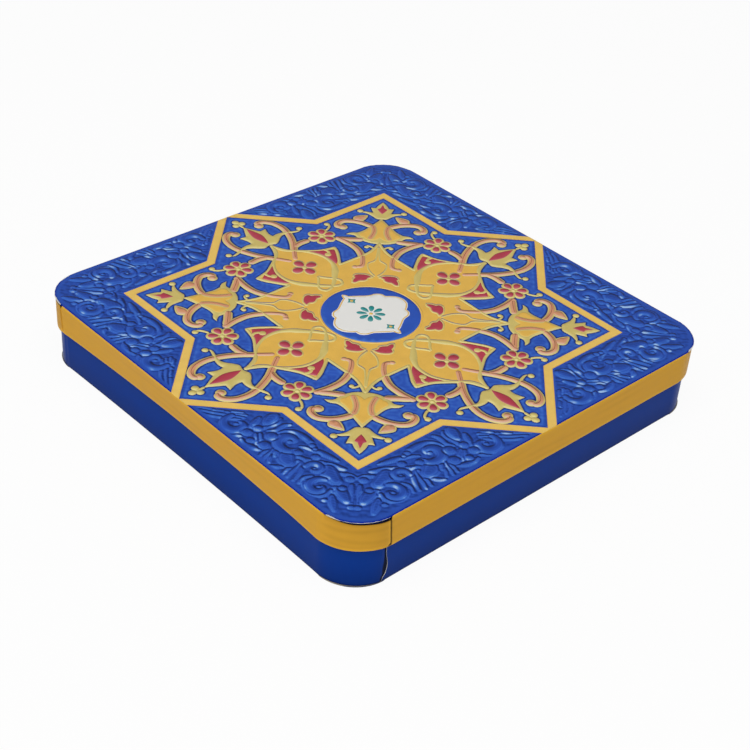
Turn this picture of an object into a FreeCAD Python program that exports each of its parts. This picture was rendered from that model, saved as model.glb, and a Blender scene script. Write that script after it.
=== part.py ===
import FreeCAD, Part
import os

# Rigid gift box: a shallow lid over a tray, both of board covered with printed card.
# Millimetres, +Z up, origin at the centre of the underside.

# Overall sizes of the closed box
LID_SIDE = 240.0
BOX_HEIGHT = 38.0
LID_DEPTH = 16.5
TOP_CORNER_RADIUS = 20.0
TOP_CORNER_EASE = 3.5
BOTTOM_CORNER_EASE = 1.35

# Thicknesses of card, board and paper
COVER = 0.3
TOP_BOARD = 1.2
RIM_BOARD = 0.7
BOTTOM_BOARD = 1.2
WALL_BOARD = 1.0
LINING = 0.2
STAY = 0.1

# Folds, seams and clearances
LID_CLEARANCE = 0.35
LID_TURN_IN = 6.0
BASE_TURN_IN = 12.0
LID_SEAM = 0.3
BASE_SEAM = 0.5
BASE_SEAM_SHIFT = 1.5
CORNER_SLIT = 0.3
STRIP_JOINT = 0.2
LINING_MARGIN = 0.5
STAY_WIDTH = 15.0
STAY_MARGIN = 0.5
OVERRUN = 5.0

# Heights, from the underside up
PANEL_TOP = COVER
FLOOR = PANEL_TOP + BOTTOM_BOARD
LID_LOW = BOX_HEIGHT - LID_DEPTH
LID_PANEL_LOW = BOX_HEIGHT - COVER
LID_BOARD_LOW = LID_PANEL_LOW - TOP_BOARD
WALL_TOP = LID_BOARD_LOW - LINING
TURN_IN_LOW = WALL_TOP - BASE_TURN_IN
RIM_LOW = LID_LOW + COVER
LID_TURN_IN_TOP = LID_LOW + LID_TURN_IN

# Corner radii and layers of the sides, from the outside in: each layer is its side and its corner radius
LID_BAND = (LID_SIDE, TOP_CORNER_RADIUS + TOP_CORNER_EASE)


def inset(layer, depth):
    """The layer that lies a depth further in, all round."""
    side, radius = layer
    return side - 2 * depth, radius - depth


LID_RIM = inset(LID_BAND, COVER)
LID_TURN = inset(LID_RIM, RIM_BOARD)
LID_INSIDE = inset(LID_TURN, COVER)
BASE_BAND = inset(LID_INSIDE, LID_CLEARANCE)
BASE_WALL = inset(BASE_BAND, COVER)
BASE_INNER = inset(BASE_WALL, WALL_BOARD)
BASE_ROOM = inset(BASE_INNER, LINING)

# Where the straight sides end and the corner arcs begin
LID_STRAIGHT = LID_SIDE / 2 - LID_BAND[1]
BASE_STRAIGHT = BASE_BAND[0] / 2 - BASE_BAND[1]

SIDE_NAMES = ("front", "right", "back", "left")
QUARTER_TURN = 90
CENTRE = FreeCAD.Vector(0, 0, 0)
UP = FreeCAD.Vector(0, 0, 1)


def block(low_corner, high_corner):
    """A plain block between two corners."""
    low = FreeCAD.Vector(*low_corner)
    size = FreeCAD.Vector(*high_corner).sub(low)
    return Part.makeBox(size.x, size.y, size.z, low)


def plate(layer, low, high):
    """A square plate with rounded corners, between two heights."""
    side, radius = layer
    square = block((-side / 2, -side / 2, low), (side / 2, side / 2, high))
    upright = [edge for edge in square.Edges if edge.BoundBox.ZLength > edge.BoundBox.DiagonalLength / 2]
    return square.makeFillet(radius, upright)


def ring(layer, thickness, low, high):
    """A strip of the given thickness that stands along the inside of a layer's outline."""
    return plate(layer, low, high).cut(plate(inset(layer, thickness), low - OVERRUN, high + OVERRUN))


def quarter_turns(shape):
    """The shape and its copies on the other three sides, counter-clockwise from the front."""
    copies = []
    for turn in range(len(SIDE_NAMES)):
        copy = shape.copy()
        copy.rotate(CENTRE, UP, turn * QUARTER_TURN)
        copies.append(copy)
    return copies


def flaps(wrap, seam, gap):
    """A wrap cut into four sides. Each keeps the corner at its counter-clockwise end, as far as the seam."""
    reach = LID_SIDE / 2 + OVERRUN
    window = block((gap / 2 - seam, -reach, -OVERRUN), (reach, -seam - gap / 2, BOX_HEIGHT + OVERRUN))
    return [wrap.common(side).removeSplitter() for side in quarter_turns(window)]


def cut_joint(strip):
    """A strip with the butt joint of its two ends at the middle of the back."""
    reach = LID_SIDE / 2 + OVERRUN
    return strip.cut(block((-STRIP_JOINT / 2, 0, -OVERRUN), (STRIP_JOINT / 2, reach, BOX_HEIGHT + OVERRUN)))


def stay(layer, low, high, out_share):
    """A strip of tape over the joint. out_share is how much of its thickness lies in the strip behind it."""
    face = layer[0] / 2 + STAY * out_share
    return block((-STAY_WIDTH / 2, face - STAY, low), (STAY_WIDTH / 2, face, high))


def lid_top_panel():
    """Printed top of the lid, with its own corner radius, free of the sides at the corners."""
    return plate((LID_SIDE, TOP_CORNER_RADIUS), LID_PANEL_LOW, BOX_HEIGHT)


def lid_flaps():
    """The gold sides, folded down from the top and turned in round the rim board's lower edge."""
    wrap = ring(LID_BAND, COVER, LID_LOW, LID_PANEL_LOW)
    hem = ring(LID_RIM, RIM_BOARD, LID_LOW, RIM_LOW)
    turn_in = ring(LID_TURN, COVER, LID_LOW, LID_TURN_IN_TOP)
    wrap = wrap.multiFuse([hem, turn_in]).removeSplitter()
    reach = LID_SIDE / 2 + OVERRUN
    slit = block((LID_STRAIGHT, -reach, LID_PANEL_LOW - CORNER_SLIT), (reach, -LID_STRAIGHT, BOX_HEIGHT))
    return flaps(wrap.cut(quarter_turns(slit)), LID_STRAIGHT, LID_SEAM)


def lid_top_board():
    """Board under the printed top, inside the gold sides."""
    return plate(LID_RIM, LID_BOARD_LOW, LID_PANEL_LOW)


def lid_rim_board():
    """Board strip behind the gold sides."""
    return cut_joint(ring(LID_RIM, RIM_BOARD, RIM_LOW, LID_BOARD_LOW))


def lid_rim_stay():
    """Tape over the rim strip's joint, between the turn-in and the lining."""
    return stay(LID_TURN, LID_TURN_IN_TOP + STAY_MARGIN, WALL_TOP - STAY_MARGIN, out_share=0)


def lid_lining_sheet():
    """Paper on the underside of the top board, which seats on the tray's edge."""
    return plate(inset(LID_TURN, LINING_MARGIN), WALL_TOP, LID_BOARD_LOW)


def base_bottom_panel():
    """Bottom of the tray's cover card."""
    side, radius = BASE_BAND
    return plate((side, radius - BOTTOM_CORNER_EASE), 0, PANEL_TOP)


def base_flaps():
    """The blue sides, folded up from the bottom and turned in over the wall board's top edge."""
    wrap = ring(BASE_BAND, COVER, PANEL_TOP, WALL_TOP)
    hem = ring(BASE_WALL, WALL_BOARD, WALL_TOP - COVER, WALL_TOP)
    turn_in = ring(BASE_INNER, COVER, TURN_IN_LOW, WALL_TOP)
    wrap = wrap.multiFuse([hem, turn_in]).removeSplitter()
    return flaps(wrap, BASE_STRAIGHT + BASE_SEAM_SHIFT, BASE_SEAM)


def base_bottom_board():
    """Board of the floor, inside the wall strip."""
    return plate(BASE_INNER, PANEL_TOP, FLOOR)


def base_wall_stay():
    """Tape pressed flush into the inside of the wall strip's joint."""
    return stay(BASE_INNER, FLOOR, TURN_IN_LOW, out_share=1)


def base_wall_board():
    """Board strip of the walls, recessed for its tape."""
    return cut_joint(ring(BASE_WALL, WALL_BOARD, PANEL_TOP, WALL_TOP - COVER)).cut(base_wall_stay())


def base_floor_lining():
    """Paper on the floor board, inside the wall lining."""
    return plate(BASE_ROOM, FLOOR, FLOOR + LINING)


def base_wall_lining():
    """Paper strip round the inside of the walls, up to the turn-in."""
    return cut_joint(ring(BASE_INNER, LINING, FLOOR, TURN_IN_LOW))


def pieces():
    """Every piece of the box by its node name."""
    named = {
        "lid_top_panel": lid_top_panel(),
        "lid_top_board": lid_top_board(),
        "lid_rim_board": lid_rim_board(),
        "lid_rim_stay": lid_rim_stay(),
        "lid_lining_sheet": lid_lining_sheet(),
        "base_bottom_panel": base_bottom_panel(),
        "base_bottom_board": base_bottom_board(),
        "base_wall_board": base_wall_board(),
        "base_wall_stay": base_wall_stay(),
        "base_floor_lining": base_floor_lining(),
        "base_wall_lining": base_wall_lining(),
    }
    for name, lid_side, base_side in zip(SIDE_NAMES, lid_flaps(), base_flaps()):
        named["lid_flap_" + name] = lid_side
        named["base_flap_" + name] = base_side
    return named


os.makedirs("parts", exist_ok=True)
for node, shape in pieces().items():
    shape.exportStep("parts/" + node + ".step")
    print(node, len(shape.Solids), "solid,", round(shape.Volume), "mm3, valid", shape.isValid())
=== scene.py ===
"""Dresses the rigid gift box: printed star lid, gold lid sides, blue tray, boards and linings, in
metres."""

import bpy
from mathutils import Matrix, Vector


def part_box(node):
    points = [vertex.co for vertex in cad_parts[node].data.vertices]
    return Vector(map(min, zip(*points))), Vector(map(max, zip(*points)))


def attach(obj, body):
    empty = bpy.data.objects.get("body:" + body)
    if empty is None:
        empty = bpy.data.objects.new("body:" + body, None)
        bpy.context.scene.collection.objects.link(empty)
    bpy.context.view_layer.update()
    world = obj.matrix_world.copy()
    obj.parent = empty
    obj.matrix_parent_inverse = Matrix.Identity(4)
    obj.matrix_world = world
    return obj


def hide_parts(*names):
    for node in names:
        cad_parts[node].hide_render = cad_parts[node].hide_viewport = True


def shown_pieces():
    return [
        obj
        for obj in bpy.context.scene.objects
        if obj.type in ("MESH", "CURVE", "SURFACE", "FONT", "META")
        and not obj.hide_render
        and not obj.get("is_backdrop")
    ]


bl_info = {
    "name": "Rigid Gift Box",
    "version": (1, 0, 0),
    "blender": (4, 5, 0),
    "location": "View3D > Sidebar > Gift Box",
    "description": "Builds a lidded gift box with a star ornament around its construction model",
    "category": "Object",
}

import math

import bmesh
import bpy
import numpy as np
from bpy.props import FloatProperty, FloatVectorProperty, PointerProperty
from mathutils import Matrix, Vector
from mathutils.geometry import delaunay_2d_cdt

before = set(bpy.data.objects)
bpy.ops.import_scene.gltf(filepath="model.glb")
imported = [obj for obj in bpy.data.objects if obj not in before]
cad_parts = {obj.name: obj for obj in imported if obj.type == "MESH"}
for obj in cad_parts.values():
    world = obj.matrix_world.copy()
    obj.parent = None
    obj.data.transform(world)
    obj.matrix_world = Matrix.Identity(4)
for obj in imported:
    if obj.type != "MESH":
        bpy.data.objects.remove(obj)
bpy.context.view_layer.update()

# Places that the construction model gives
LID_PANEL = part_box("lid_top_panel")
LID_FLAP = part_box("lid_flap_front")
TRAY_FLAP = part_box("base_flap_front")
TRAY_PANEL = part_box("base_bottom_panel")
RIM_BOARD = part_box("lid_rim_board")
WALL_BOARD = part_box("base_wall_board")
WALL_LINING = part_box("base_wall_lining")
LID_TOP = LID_PANEL[1].z
LID_HALF = LID_PANEL[1].x
LID_LOW = LID_FLAP[0].z
COVER = LID_PANEL[1].z - LID_PANEL[0].z
TRAY_HALF = TRAY_PANEL[1].x
TRAY_TOP = TRAY_FLAP[1].z

# The ornament is drawn in shares of the lid: this many units from the lid's middle to its edge
UNITS_TO_EDGE = 120
UNIT = LID_HALF / UNITS_TO_EDGE
SIDES = ("front", "right", "back", "left")
CORNERS = ("back_right", "back_left", "front_left", "front_right")
QUARTER = math.pi / 2


def number_prop(name, description, default):
    """A plain number for a settings group."""
    return FloatProperty(name=name, description=description, default=default)


def length_prop(name, description, default):
    """A length in metres for a settings group."""
    return FloatProperty(name=name, description=description, default=default, unit="LENGTH")


def angle_prop(name, description, degrees):
    """An angle for a settings group, given in degrees."""
    return FloatProperty(name=name, description=description, default=math.radians(degrees), subtype="ANGLE")


def shift_prop(name, description, default):
    """A way across the print for a settings group, in units."""
    return FloatVectorProperty(name=name, description=description, default=default, size=2)


def colour_prop(name, description, default):
    """A linear colour for a settings group."""
    return FloatVectorProperty(name=name, description=description, default=default, subtype="COLOR")


class GiftBoxSizes(bpy.types.PropertyGroup):
    """Sizes of the card, its folds and its seams."""
    top_corner: length_prop("Lid corner", "Corner radius of the printed top", 0.0221)
    band_corner: length_prop("Band corner", "Corner radius of the lid's gold sides", 0.0235)
    tray_corner: length_prop("Tray corner", "Corner radius of the tray's sides", 0.02185)
    bottom_corner: length_prop("Bottom corner", "Corner radius of the bottom card", 0.0205)
    fold: length_prop("Fold", "Outer radius of the card's folds", 0.0007)
    cut_fold: length_prop("Cut edge", "Rounding of the card's cut edge at the corners", 0.00022)
    lap_lift: length_prop("Lap lift", "How far a lapped card end stands off its neighbour", 0.00036)
    lid_lap: length_prop("Lid lap", "How far each lid side runs under the corner tab before it", 0.004)
    lid_tab_gap: length_prop("Tab end", "From the end of the corner arc back to the lid tab's end", 0.0015)
    gap_open: length_prop("Corner gap", "Height of the gap under the top along a corner tab", 0.0013)
    clip: length_prop("Tab clip", "Size of the clipped lower corner of each lid tab", 0.0016)
    slit: length_prop("Slit start", "How far into a corner arc the top's fold runs on", 0.004)
    slit_end: length_prop("Slit end", "How far before the end of a corner arc the next fold starts", 0.0015)
    slant: length_prop("Tab slant", "How much shorter a lid tab is at its top", 0.0014)
    bow: length_prop("Front bow", "How far the middle of the front is pressed in", 0.0026)
    hem: length_prop("Lid hem", "Thickness of the lid's sides at the hem", 0.0013)
    tray_hem: length_prop("Tray hem", "Thickness of the tray's sides at the top", 0.0016)
    hem_round: length_prop("Hem rounding", "Outer radius of the card where it turns in", 0.00042)
    lid_turn_in: length_prop("Lid turn-in", "Height of the card turned in at the lid's lower edge", 0.006)
    tray_turn_in: length_prop("Tray turn-in", "Height of the card turned in at the tray's top", 0.012)
    rim_board: length_prop("Rim board", "Thickness of the board behind the lid's sides", 0.0007)
    wall_board: length_prop("Wall board", "Thickness of the board behind the tray's sides", 0.001)
    lining: length_prop("Lining", "Thickness of the lining paper", 0.0002)
    seam_lift: length_prop("Seam lift", "How far the tray's seams stand open", 0.0001)
    board_drop: length_prop("Board drop", "How far the rim board ends below the lid's board", 0.0025)
    board_inset: length_prop("Board inset", "How far the lid's board stands in from its sides", 0.0016)
    right_drop: length_prop("Right drop", "How far the lid's right side hangs below the others", 0.0005)
    ripple: length_prop("Ripple", "Height of the slow waves in the card sides", 0.00007)


class GiftBoxOrnament(bpy.types.PropertyGroup):
    """Sizes of the printed ornament, in units of a hundred-and-twentieth of half the lid."""
    shift: shift_prop("Print shift", "How far the print lies off the lid's middle", (-0.45, -0.65))
    disc_shift: shift_prop("Disc shift", "How far the middle disc lies off the print's middle", (0.4, -1.6))
    shadow_shift: shift_prop("Shadow shift", "How far printed shadows lie off their lines", (-0.5, 0.45))
    star_inner: number_prop("Star inside", "Half side of the two squares at the border's inner edge", 84.2)
    star_outer: number_prop("Star outside", "Half side of the two squares at the border's outer edge", 88.7)
    disc: number_prop("Centre disc", "Radius of the blue disc", 25.2)
    field_rise: number_prop("Field rise", "Height of the carved scrolls in the corner fields", 0.5)


class GiftBoxColours(bpy.types.PropertyGroup):
    """Linear colours of the inks, card, board and paper."""
    # blue_deep, blue_light and blue_glint are painted tones of the blue ink: painted shade in hollows and
    # on slopes away from the light, painted light on slopes towards it, and painted glints
    blue_deep: colour_prop("Deep blue", "Ink in the hollows of the print", (0.003, 0.011, 0.075))
    blue: colour_prop("Blue", "Ink of the blue ground", (0.030, 0.095, 0.480))
    blue_light: colour_prop("Light blue", "Ink on the raised scrolls", (0.062, 0.195, 0.640))
    blue_glint: colour_prop("Pale blue", "Ink of the printed glints", (0.350, 0.530, 0.800))
    blue_line: colour_prop("Edge blue", "Ink along the lid's edges", (0.005, 0.026, 0.320))
    gold: colour_prop("Gold", "Ink of the gold fills", (0.800, 0.480, 0.090))
    gold_pale: colour_prop("Pale gold", "Ink of the pale outlines", (0.640, 0.510, 0.160))
    red: colour_prop("Red", "Ink of the flowers", (0.450, 0.045, 0.075))
    salmon: colour_prop("Salmon", "Ink of the stems", (0.670, 0.305, 0.160))
    # brown is the painted shade line along the side of each stem away from the light
    brown: colour_prop("Brown", "Ink of the lines along the stems", (0.200, 0.055, 0.030))
    shadow: colour_prop("Line shadow", "Ink of the shadows beside the pale lines", (0.230, 0.175, 0.260))
    ivory: colour_prop("Ivory", "Ink of the middle roundel", (0.850, 0.840, 0.810))
    turquoise: colour_prop("Turquoise", "Ink of the middle rosette", (0.010, 0.270, 0.270))
    band: colour_prop("Band gold", "Card of the lid's sides", (0.740, 0.385, 0.038))
    tray: colour_prop("Tray blue", "Card of the tray", (0.004, 0.042, 0.285))
    core: colour_prop("Card core", "White inside of the card at its cut edges", (0.70, 0.68, 0.64))
    board: colour_prop("Greyboard", "Pressed grey fibre board", (0.300, 0.270, 0.225))
    lining: colour_prop("Lining", "White lining paper", (0.800, 0.785, 0.745))
    tape: colour_prop("Stay tape", "Gummed brown paper tape", (0.430, 0.270, 0.120))


class GiftBoxStage(bpy.types.PropertyGroup):
    """Camera, lights and floor."""
    azimuth: angle_prop("Azimuth", "Camera's turn round the box from the front", 45.38)
    elevation: angle_prop("Elevation", "Camera's height angle", 35.34)
    roll: angle_prop("Roll", "Camera's turn about its own axis", 4.31)
    eye: FloatVectorProperty(
        name="Eye", description="Camera's place from the middle of the lid's top",
        default=(0.45486, -0.44508, 0.41321), subtype="TRANSLATION", unit="LENGTH")
    lens: number_prop("Lens", "Focal length in millimetres on a 36 mm sensor", 72.61)
    floor: colour_prop("Floor", "Colour of the floor and backdrop", (0.90, 0.90, 0.90))
    sky: number_prop("Room light", "Strength of the even light from all round", 0.25)
    key: number_prop("Key light", "Power of the large lamp over the box, in watts", 20.0)
    fill: number_prop("Fill light", "Power of the lamp at the camera's side, in watts", 2.0)


# Flat lines of the ornament

LINE_STEP = 0.5
SAMPLES_PER_POINT = 40


def running_length(line):
    """Length along a line up to each of its points."""
    return np.concatenate(([0.0], np.cumsum(np.linalg.norm(np.diff(line, axis=0), axis=1))))


def resample(line):
    """The same line with its points an even step apart, by its running length."""
    run = running_length(line)
    at = np.linspace(0, run[-1], max(2, int(round(run[-1] / LINE_STEP)) + 1))
    return np.column_stack([np.interp(at, run, column) for column in line.T])


def spline(points):
    """A smooth line through given points: cubic pieces over knots at the square roots of the chords,
    where the slope at a point is the mean of the chords beside it, each weighted by the other's span."""
    p = np.asarray(points, float)
    knot = np.concatenate(([0.0], np.cumsum(np.sqrt(np.linalg.norm(np.diff(p, axis=0), axis=1)))))
    span = np.diff(knot)[:, None]
    chord = np.diff(p, axis=0) / span
    inner = (chord[:-1] * span[1:] + chord[1:] * span[:-1]) / (span[:-1] + span[1:])
    first = 1.5 * chord[:1] - 0.5 * inner[:1] if len(p) > 2 else chord
    last = 1.5 * chord[-1:] - 0.5 * inner[-1:] if len(p) > 2 else chord
    slope = np.vstack((first, inner, last))
    k = np.linspace(0, knot[-1], SAMPLES_PER_POINT * len(p))
    i = np.clip(np.searchsorted(knot, k, "right") - 1, 0, len(span) - 1)
    u = (k - knot[i])[:, None] / span[i]
    line = p[i] * (1 + 2 * u) * (1 - u) ** 2 + p[i + 1] * u * u * (3 - 2 * u)
    line = line + span[i] * (slope[i] * u * (1 - u) ** 2 - slope[i + 1] * u * u * (1 - u))
    return resample(line)


def joined(runs):
    """Smooth runs end to end, with a sharp corner where one stops and the next starts."""
    lines = [spline(run) for run in runs]
    return np.vstack([line[:-1] for line in lines] + [lines[-1][-1:]])


def closed_outline(runs):
    """A closed outline from runs whose last point is their first."""
    return joined(runs)[:-1]


def with_mirror(half):
    """A closed outline from its right half, which starts and ends on the middle line, and its mirror
    image."""
    return np.vstack((half, (half * (-1, 1))[-2:0:-1]))


def two_sided(runs):
    """A closed outline from the runs of its right half."""
    return with_mirror(joined(runs))


def four_sided(runs):
    """A closed outline from the runs of its upper right quarter, from the top round to the right."""
    quarter = joined(runs)
    return with_mirror(np.vstack((quarter, (quarter * (1, -1))[-2::-1])))


def eightfold(runs):
    """A closed outline from the runs of one eighth, from the axis round to the diagonal, mirrored and
    turned."""
    eighth = joined(runs)
    quarter = np.vstack((eighth, eighth[-2::-1, ::-1]))[:-1]
    return np.vstack([turned(quarter, -turn * QUARTER) for turn in range(4)])


def turned(points, angle):
    """Points turned about the middle, by their first two coordinates."""
    c, s = math.cos(angle), math.sin(angle)
    flat = points[:, :2] @ np.array(((c, s), (-s, c)))
    return np.column_stack((flat, points[:, 2:]))


PAIRS_AT_ONCE = 2000000
LEAST_RISE = 1e-9


def depth_inside(points, loop):
    """Distance of each point to a closed outline, with a minus sign outside it: the nearest of all its
    segments, and inside where a line to the right crosses it an odd number of times."""
    ab = np.roll(loop, -1, axis=0) - loop
    rise = np.where(np.abs(ab[:, 1]) < LEAST_RISE, LEAST_RISE, ab[:, 1])
    parts = []
    for p in np.array_split(points, len(points) * len(loop) // PAIRS_AT_ONCE + 1):
        ap = p[:, None] - loop
        t = np.clip((ap * ab).sum(2) / (ab * ab).sum(1), 0, 1)
        near = np.linalg.norm(ap - t[..., None] * ab, axis=2).min(1)
        above = loop[:, 1] > p[:, 1:]
        crosses = (above != np.roll(above, -1, axis=1)) & (ap[..., 0] < ap[..., 1] / rise * ab[:, 0])
        parts.append(np.where(crosses.sum(1) % 2 == 1, near, -near))
    return np.concatenate(parts)


# Raised shapes, each as its points, its four-sided faces and its three-sided faces

NO_QUADS = np.zeros((0, 4), int)
NO_TRIS = np.zeros((0, 3), int)
OTHER_WAY = (0, 3, 2, 1)
ROOT = -0.12
CUSHION_RINGS = (0.12, 0.4, 1)
RING_ROOM = 0.93
LATTICE_ROOM = 1.5
ON_RIM = 1e-4
FILL_PRECISION = 1e-6
END_FADE = 0.03
DROP_RINGS = 4
DROP_SIDES = 20


def grid_quads(rows, cols, ring=False, tube=False):
    """Four-sided faces over points in rows. A ring joins the last row to the first, a tube the last
    column."""
    row = np.arange(rows if ring else rows - 1)[:, None]
    col = np.arange(cols if tube else cols - 1)
    after, beside = (row + 1) % rows, (col + 1) % cols
    corners = (row * cols + col, row * cols + beside, after * cols + beside, after * cols + col)
    return np.stack(np.broadcast_arrays(*corners), -1).reshape(-1, 4)


def filled(points, count):
    """Flat points and the triangles that fill the outline of the first count points."""
    found = delaunay_2d_cdt([tuple(p) for p in points], [], [list(range(count))], 1, FILL_PRECISION)
    return np.array([tuple(v) for v in found[0]]), np.array([face for face in found[2] if len(face) == 3])


def cushion(loop, edge, rise, base=ROOT, pitch=1.6):
    """A raised plate on a closed outline: over the first edge units in, the height climbs to rise as a
    quarter of an ellipse of the distance to the outline, and stays level further in. Its underside is
    flat."""
    area = loop[:, 0] @ np.roll(loop[:, 1], -1) - loop[:, 1] @ np.roll(loop[:, 0], -1)
    loop = loop if area > 0 else loop[::-1]
    ahead = np.roll(loop, -1, axis=0) - np.roll(loop, 1, axis=0)
    inward = np.column_stack((-ahead[:, 1], ahead[:, 0])) / np.linalg.norm(ahead, axis=1)[:, None]
    insets = [share * edge for share in CUSHION_RINGS]
    axes = (np.arange(low, high, pitch) for low, high in zip(loop.min(0), loop.max(0)))
    lattice = np.stack(np.meshgrid(*axes), -1).reshape(-1, 2)
    inner = np.vstack([loop + inward * d for d in insets] + [lattice])
    wanted = np.concatenate((np.repeat(insets, len(loop)) * RING_ROOM,
                             np.full(len(lattice), LATTICE_ROOM * edge)))
    flat, top = filled(np.vstack((loop, inner[depth_inside(inner, loop) > wanted])), len(loop))
    share = np.clip(np.maximum(depth_inside(flat, loop), 0) / edge, 0, 1)
    share = np.where(share < ON_RIM, 0, share)
    points = np.column_stack((flat, base + (rise - base) * np.sqrt(share * (2 - share))))
    rim, under = filled(loop, len(loop))
    number = ((rim[:, None] - flat) ** 2).sum(2).argmin(1)
    return points, NO_QUADS, np.vstack((top, number[under[:, ::-1]]))


def bead(line, half, rise, base=ROOT, closed=False, ribs=6):
    """A raised line: half an ellipse, half wide each side and rise high, carried along a path. It rounds
    off at open ends, where its width follows a half circle. Its underside is flat."""
    count = len(line)
    around = np.vstack((line[-1:], line, line[:1])) if closed else line
    ahead = np.gradient(around, axis=0)[1:-1] if closed else np.gradient(around, axis=0)
    across = np.column_stack((ahead[:, 1], -ahead[:, 0])) / np.linalg.norm(ahead, axis=1)[:, None]
    width = np.broadcast_to(np.asarray(half, float), (count,))
    run = running_length(line)
    left = np.full(count, 1.0) if closed else np.clip(np.minimum(run, run[-1] - run) / width, 0, 1)
    fade = np.sqrt(np.clip(left * (2 - left), END_FADE, 1))
    angle = np.linspace(0, math.pi, ribs + 1)
    flat = line[:, None] + (across * (width * fade)[:, None])[:, None] * np.cos(angle)[None, :, None]
    height = base + (rise - base) * np.sqrt(fade)[:, None] * np.sin(angle)
    points = np.concatenate((flat, height[..., None]), axis=2).reshape(-1, 3)
    quads = grid_quads(count, ribs + 1, ring=closed, tube=True)[:, OTHER_WAY]
    fan = np.column_stack((np.zeros(ribs - 1, int), np.arange(1, ribs), np.arange(2, ribs + 1)))
    ends = NO_TRIS if closed else np.vstack((fan, fan[:, ::-1] + (count - 1) * (ribs + 1)))
    return points, quads, ends


def drop(centre, heading, length, width, rise, base=ROOT, taper=0.0):
    """A raised drop: an ellipse of half length and half width along a heading, its inner end narrower by
    taper, in rings that climb as half an ellipse to a pole. Its underside is a flat fan."""
    climb = np.linspace(0, QUARTER, DROP_RINGS + 1)[:-1, None]
    turn = np.linspace(0, 2 * math.pi, DROP_SIDES, endpoint=False)
    along_it = length * np.cos(climb) * np.cos(turn)
    beside = width * np.cos(climb) * np.sin(turn) * (1 + taper * np.cos(turn))
    height = np.broadcast_to(base + (rise - base) * np.sin(climb), along_it.shape)
    flat = np.stack((along_it, beside, height), -1).reshape(-1, 3)
    points = turned(np.vstack((flat, ((0, 0, rise), (0, 0, base)))), heading) + (centre[0], centre[1], 0)
    ring = np.arange(DROP_SIDES)
    ahead = np.roll(ring, -1)
    last, pole = (DROP_RINGS - 1) * DROP_SIDES, np.full(DROP_SIDES, len(flat))
    tris = np.vstack((np.column_stack((ring + last, ahead + last, pole)),
                      np.column_stack((ahead, ring, pole + 1))))
    return points, grid_quads(DROP_RINGS, DROP_SIDES, tube=True), tris


def round_drop(centre, radius, rise, base=ROOT):
    """A raised round dot."""
    return drop(centre, 0, radius, radius, rise, base)


class Relief:
    """Raised shapes of one ink gathered for one mesh, each set down four times round the middle, or eight
    with its mirror image."""

    def __init__(self):
        self.points = []
        self.quads = []
        self.tris = []
        self.count = 0

    def put(self, shape, first=0.0, mirrored=False, turns=4):
        points, quads, tris = shape
        for side in (1, -1) if mirrored else (1,):
            for turn in range(turns):
                self.points.append(turned(points * (side, 1, 1), first + turn * QUARTER))
                self.quads.append((quads if side == 1 else quads[:, ::-1]) + self.count)
                self.tris.append((tris if side == 1 else tris[:, ::-1]) + self.count)
                self.count += len(points)

    def mesh_parts(self):
        return np.vstack(self.points), np.vstack(self.quads), np.vstack(self.tris)


# Sheets of card that follow the box's rounded square

BOW_FLATNESS = 0.8
FRONT_FROM = 0.9
FRONT_BLEND = 0.05
BOW_AT_FLOOR = 0.4
SIDE_SHARE = 0.82
PATH_START = 0.004


def smooth_step(t):
    """0 below 0, 1 above 1, and a smooth cubic between."""
    t = np.clip(t, 0, 1)
    return t * t * (3 - 2 * t)


def eased(way, start, width):
    """0 up to a start, 1 from a width further on, and a smooth cubic between."""
    return smooth_step((way - start) / width)


def bell(way, strength, width):
    """A strength that falls off to both sides as a bell curve."""
    return strength * np.exp(-(way / width) ** 2)


def fading(way, strength, width):
    """A strength that falls off one way, e times over each width."""
    return strength * np.exp(-way / width)


def spaced(knots, counts):
    """Places from the first knot up to the last, without it, in a count of even steps between each two
    knots."""
    runs = zip(knots, knots[1:], counts)
    return np.concatenate([np.linspace(low, high, count, endpoint=False) for low, high, count in runs])


def around_box(half, corner, s):
    """Places on a rounded square's outline and directions out of it, s metres counter-clockwise from the
    middle of its front: each quarter is a straight side, then a quarter circle, turned by quarter
    turns."""
    straight = 2 * (half - corner)
    period = straight + QUARTER * corner
    quarter = np.floor((s + straight / 2) / period)
    v = s + straight / 2 - quarter * period
    angle = np.clip((v - straight) / corner, 0, None)
    x = np.minimum(v, straight) - straight / 2 + corner * np.sin(angle)
    y = corner * (1 - np.cos(angle)) - half
    c, d = np.cos(quarter * QUARTER), np.sin(quarter * QUARTER)
    place = np.stack((c * x - d * y, d * x + c * y), -1)
    out = np.stack((c * np.sin(angle) + d * np.cos(angle), d * np.sin(angle) - c * np.cos(angle)), -1)
    return place, out


def panel_path(half, corner, side_steps, corner_steps):
    """A path round a rounded square, denser at its corners, as metres along it; the length from the start
    of the corner arc, below zero on the straight before it; and the arc's own length."""
    straight, arc = 2 * (half - corner), QUARTER * corner
    share = spaced((0, SIDE_SHARE, 1), (side_steps, corner_steps))
    s = (share + np.arange(4)[:, None]).ravel() * (straight + arc) - straight / 2 + PATH_START
    v = np.mod(s + straight / 2, straight + arc) - straight
    return s[:, None], np.where(v < -straight / 2, v + straight + arc, v), arc


def bowed(points, share):
    """Points with the front pressed in at its middle: the bow times a flattened cosine along the front,
    times the share that a height gives."""
    sizes = bpy.context.scene.gift_box_sizes
    straight = LID_HALF - sizes.band_corner
    along_front = np.cos(np.clip(points[:, 0] / straight, -1, 1) * QUARTER) ** BOW_FLATNESS
    front = smooth_step((-points[:, 1] / LID_HALF - FRONT_FROM) / FRONT_BLEND)
    moved = points.copy()
    moved[:, 1] += sizes.bow * along_front * front * share(points[:, 2])
    return moved


def lid_bow(z):
    """Share of the bow on the lid: none at the top, all of it at the lower edge."""
    return np.clip((LID_TOP - z) / (LID_TOP - LID_LOW), 0, 1)


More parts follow.
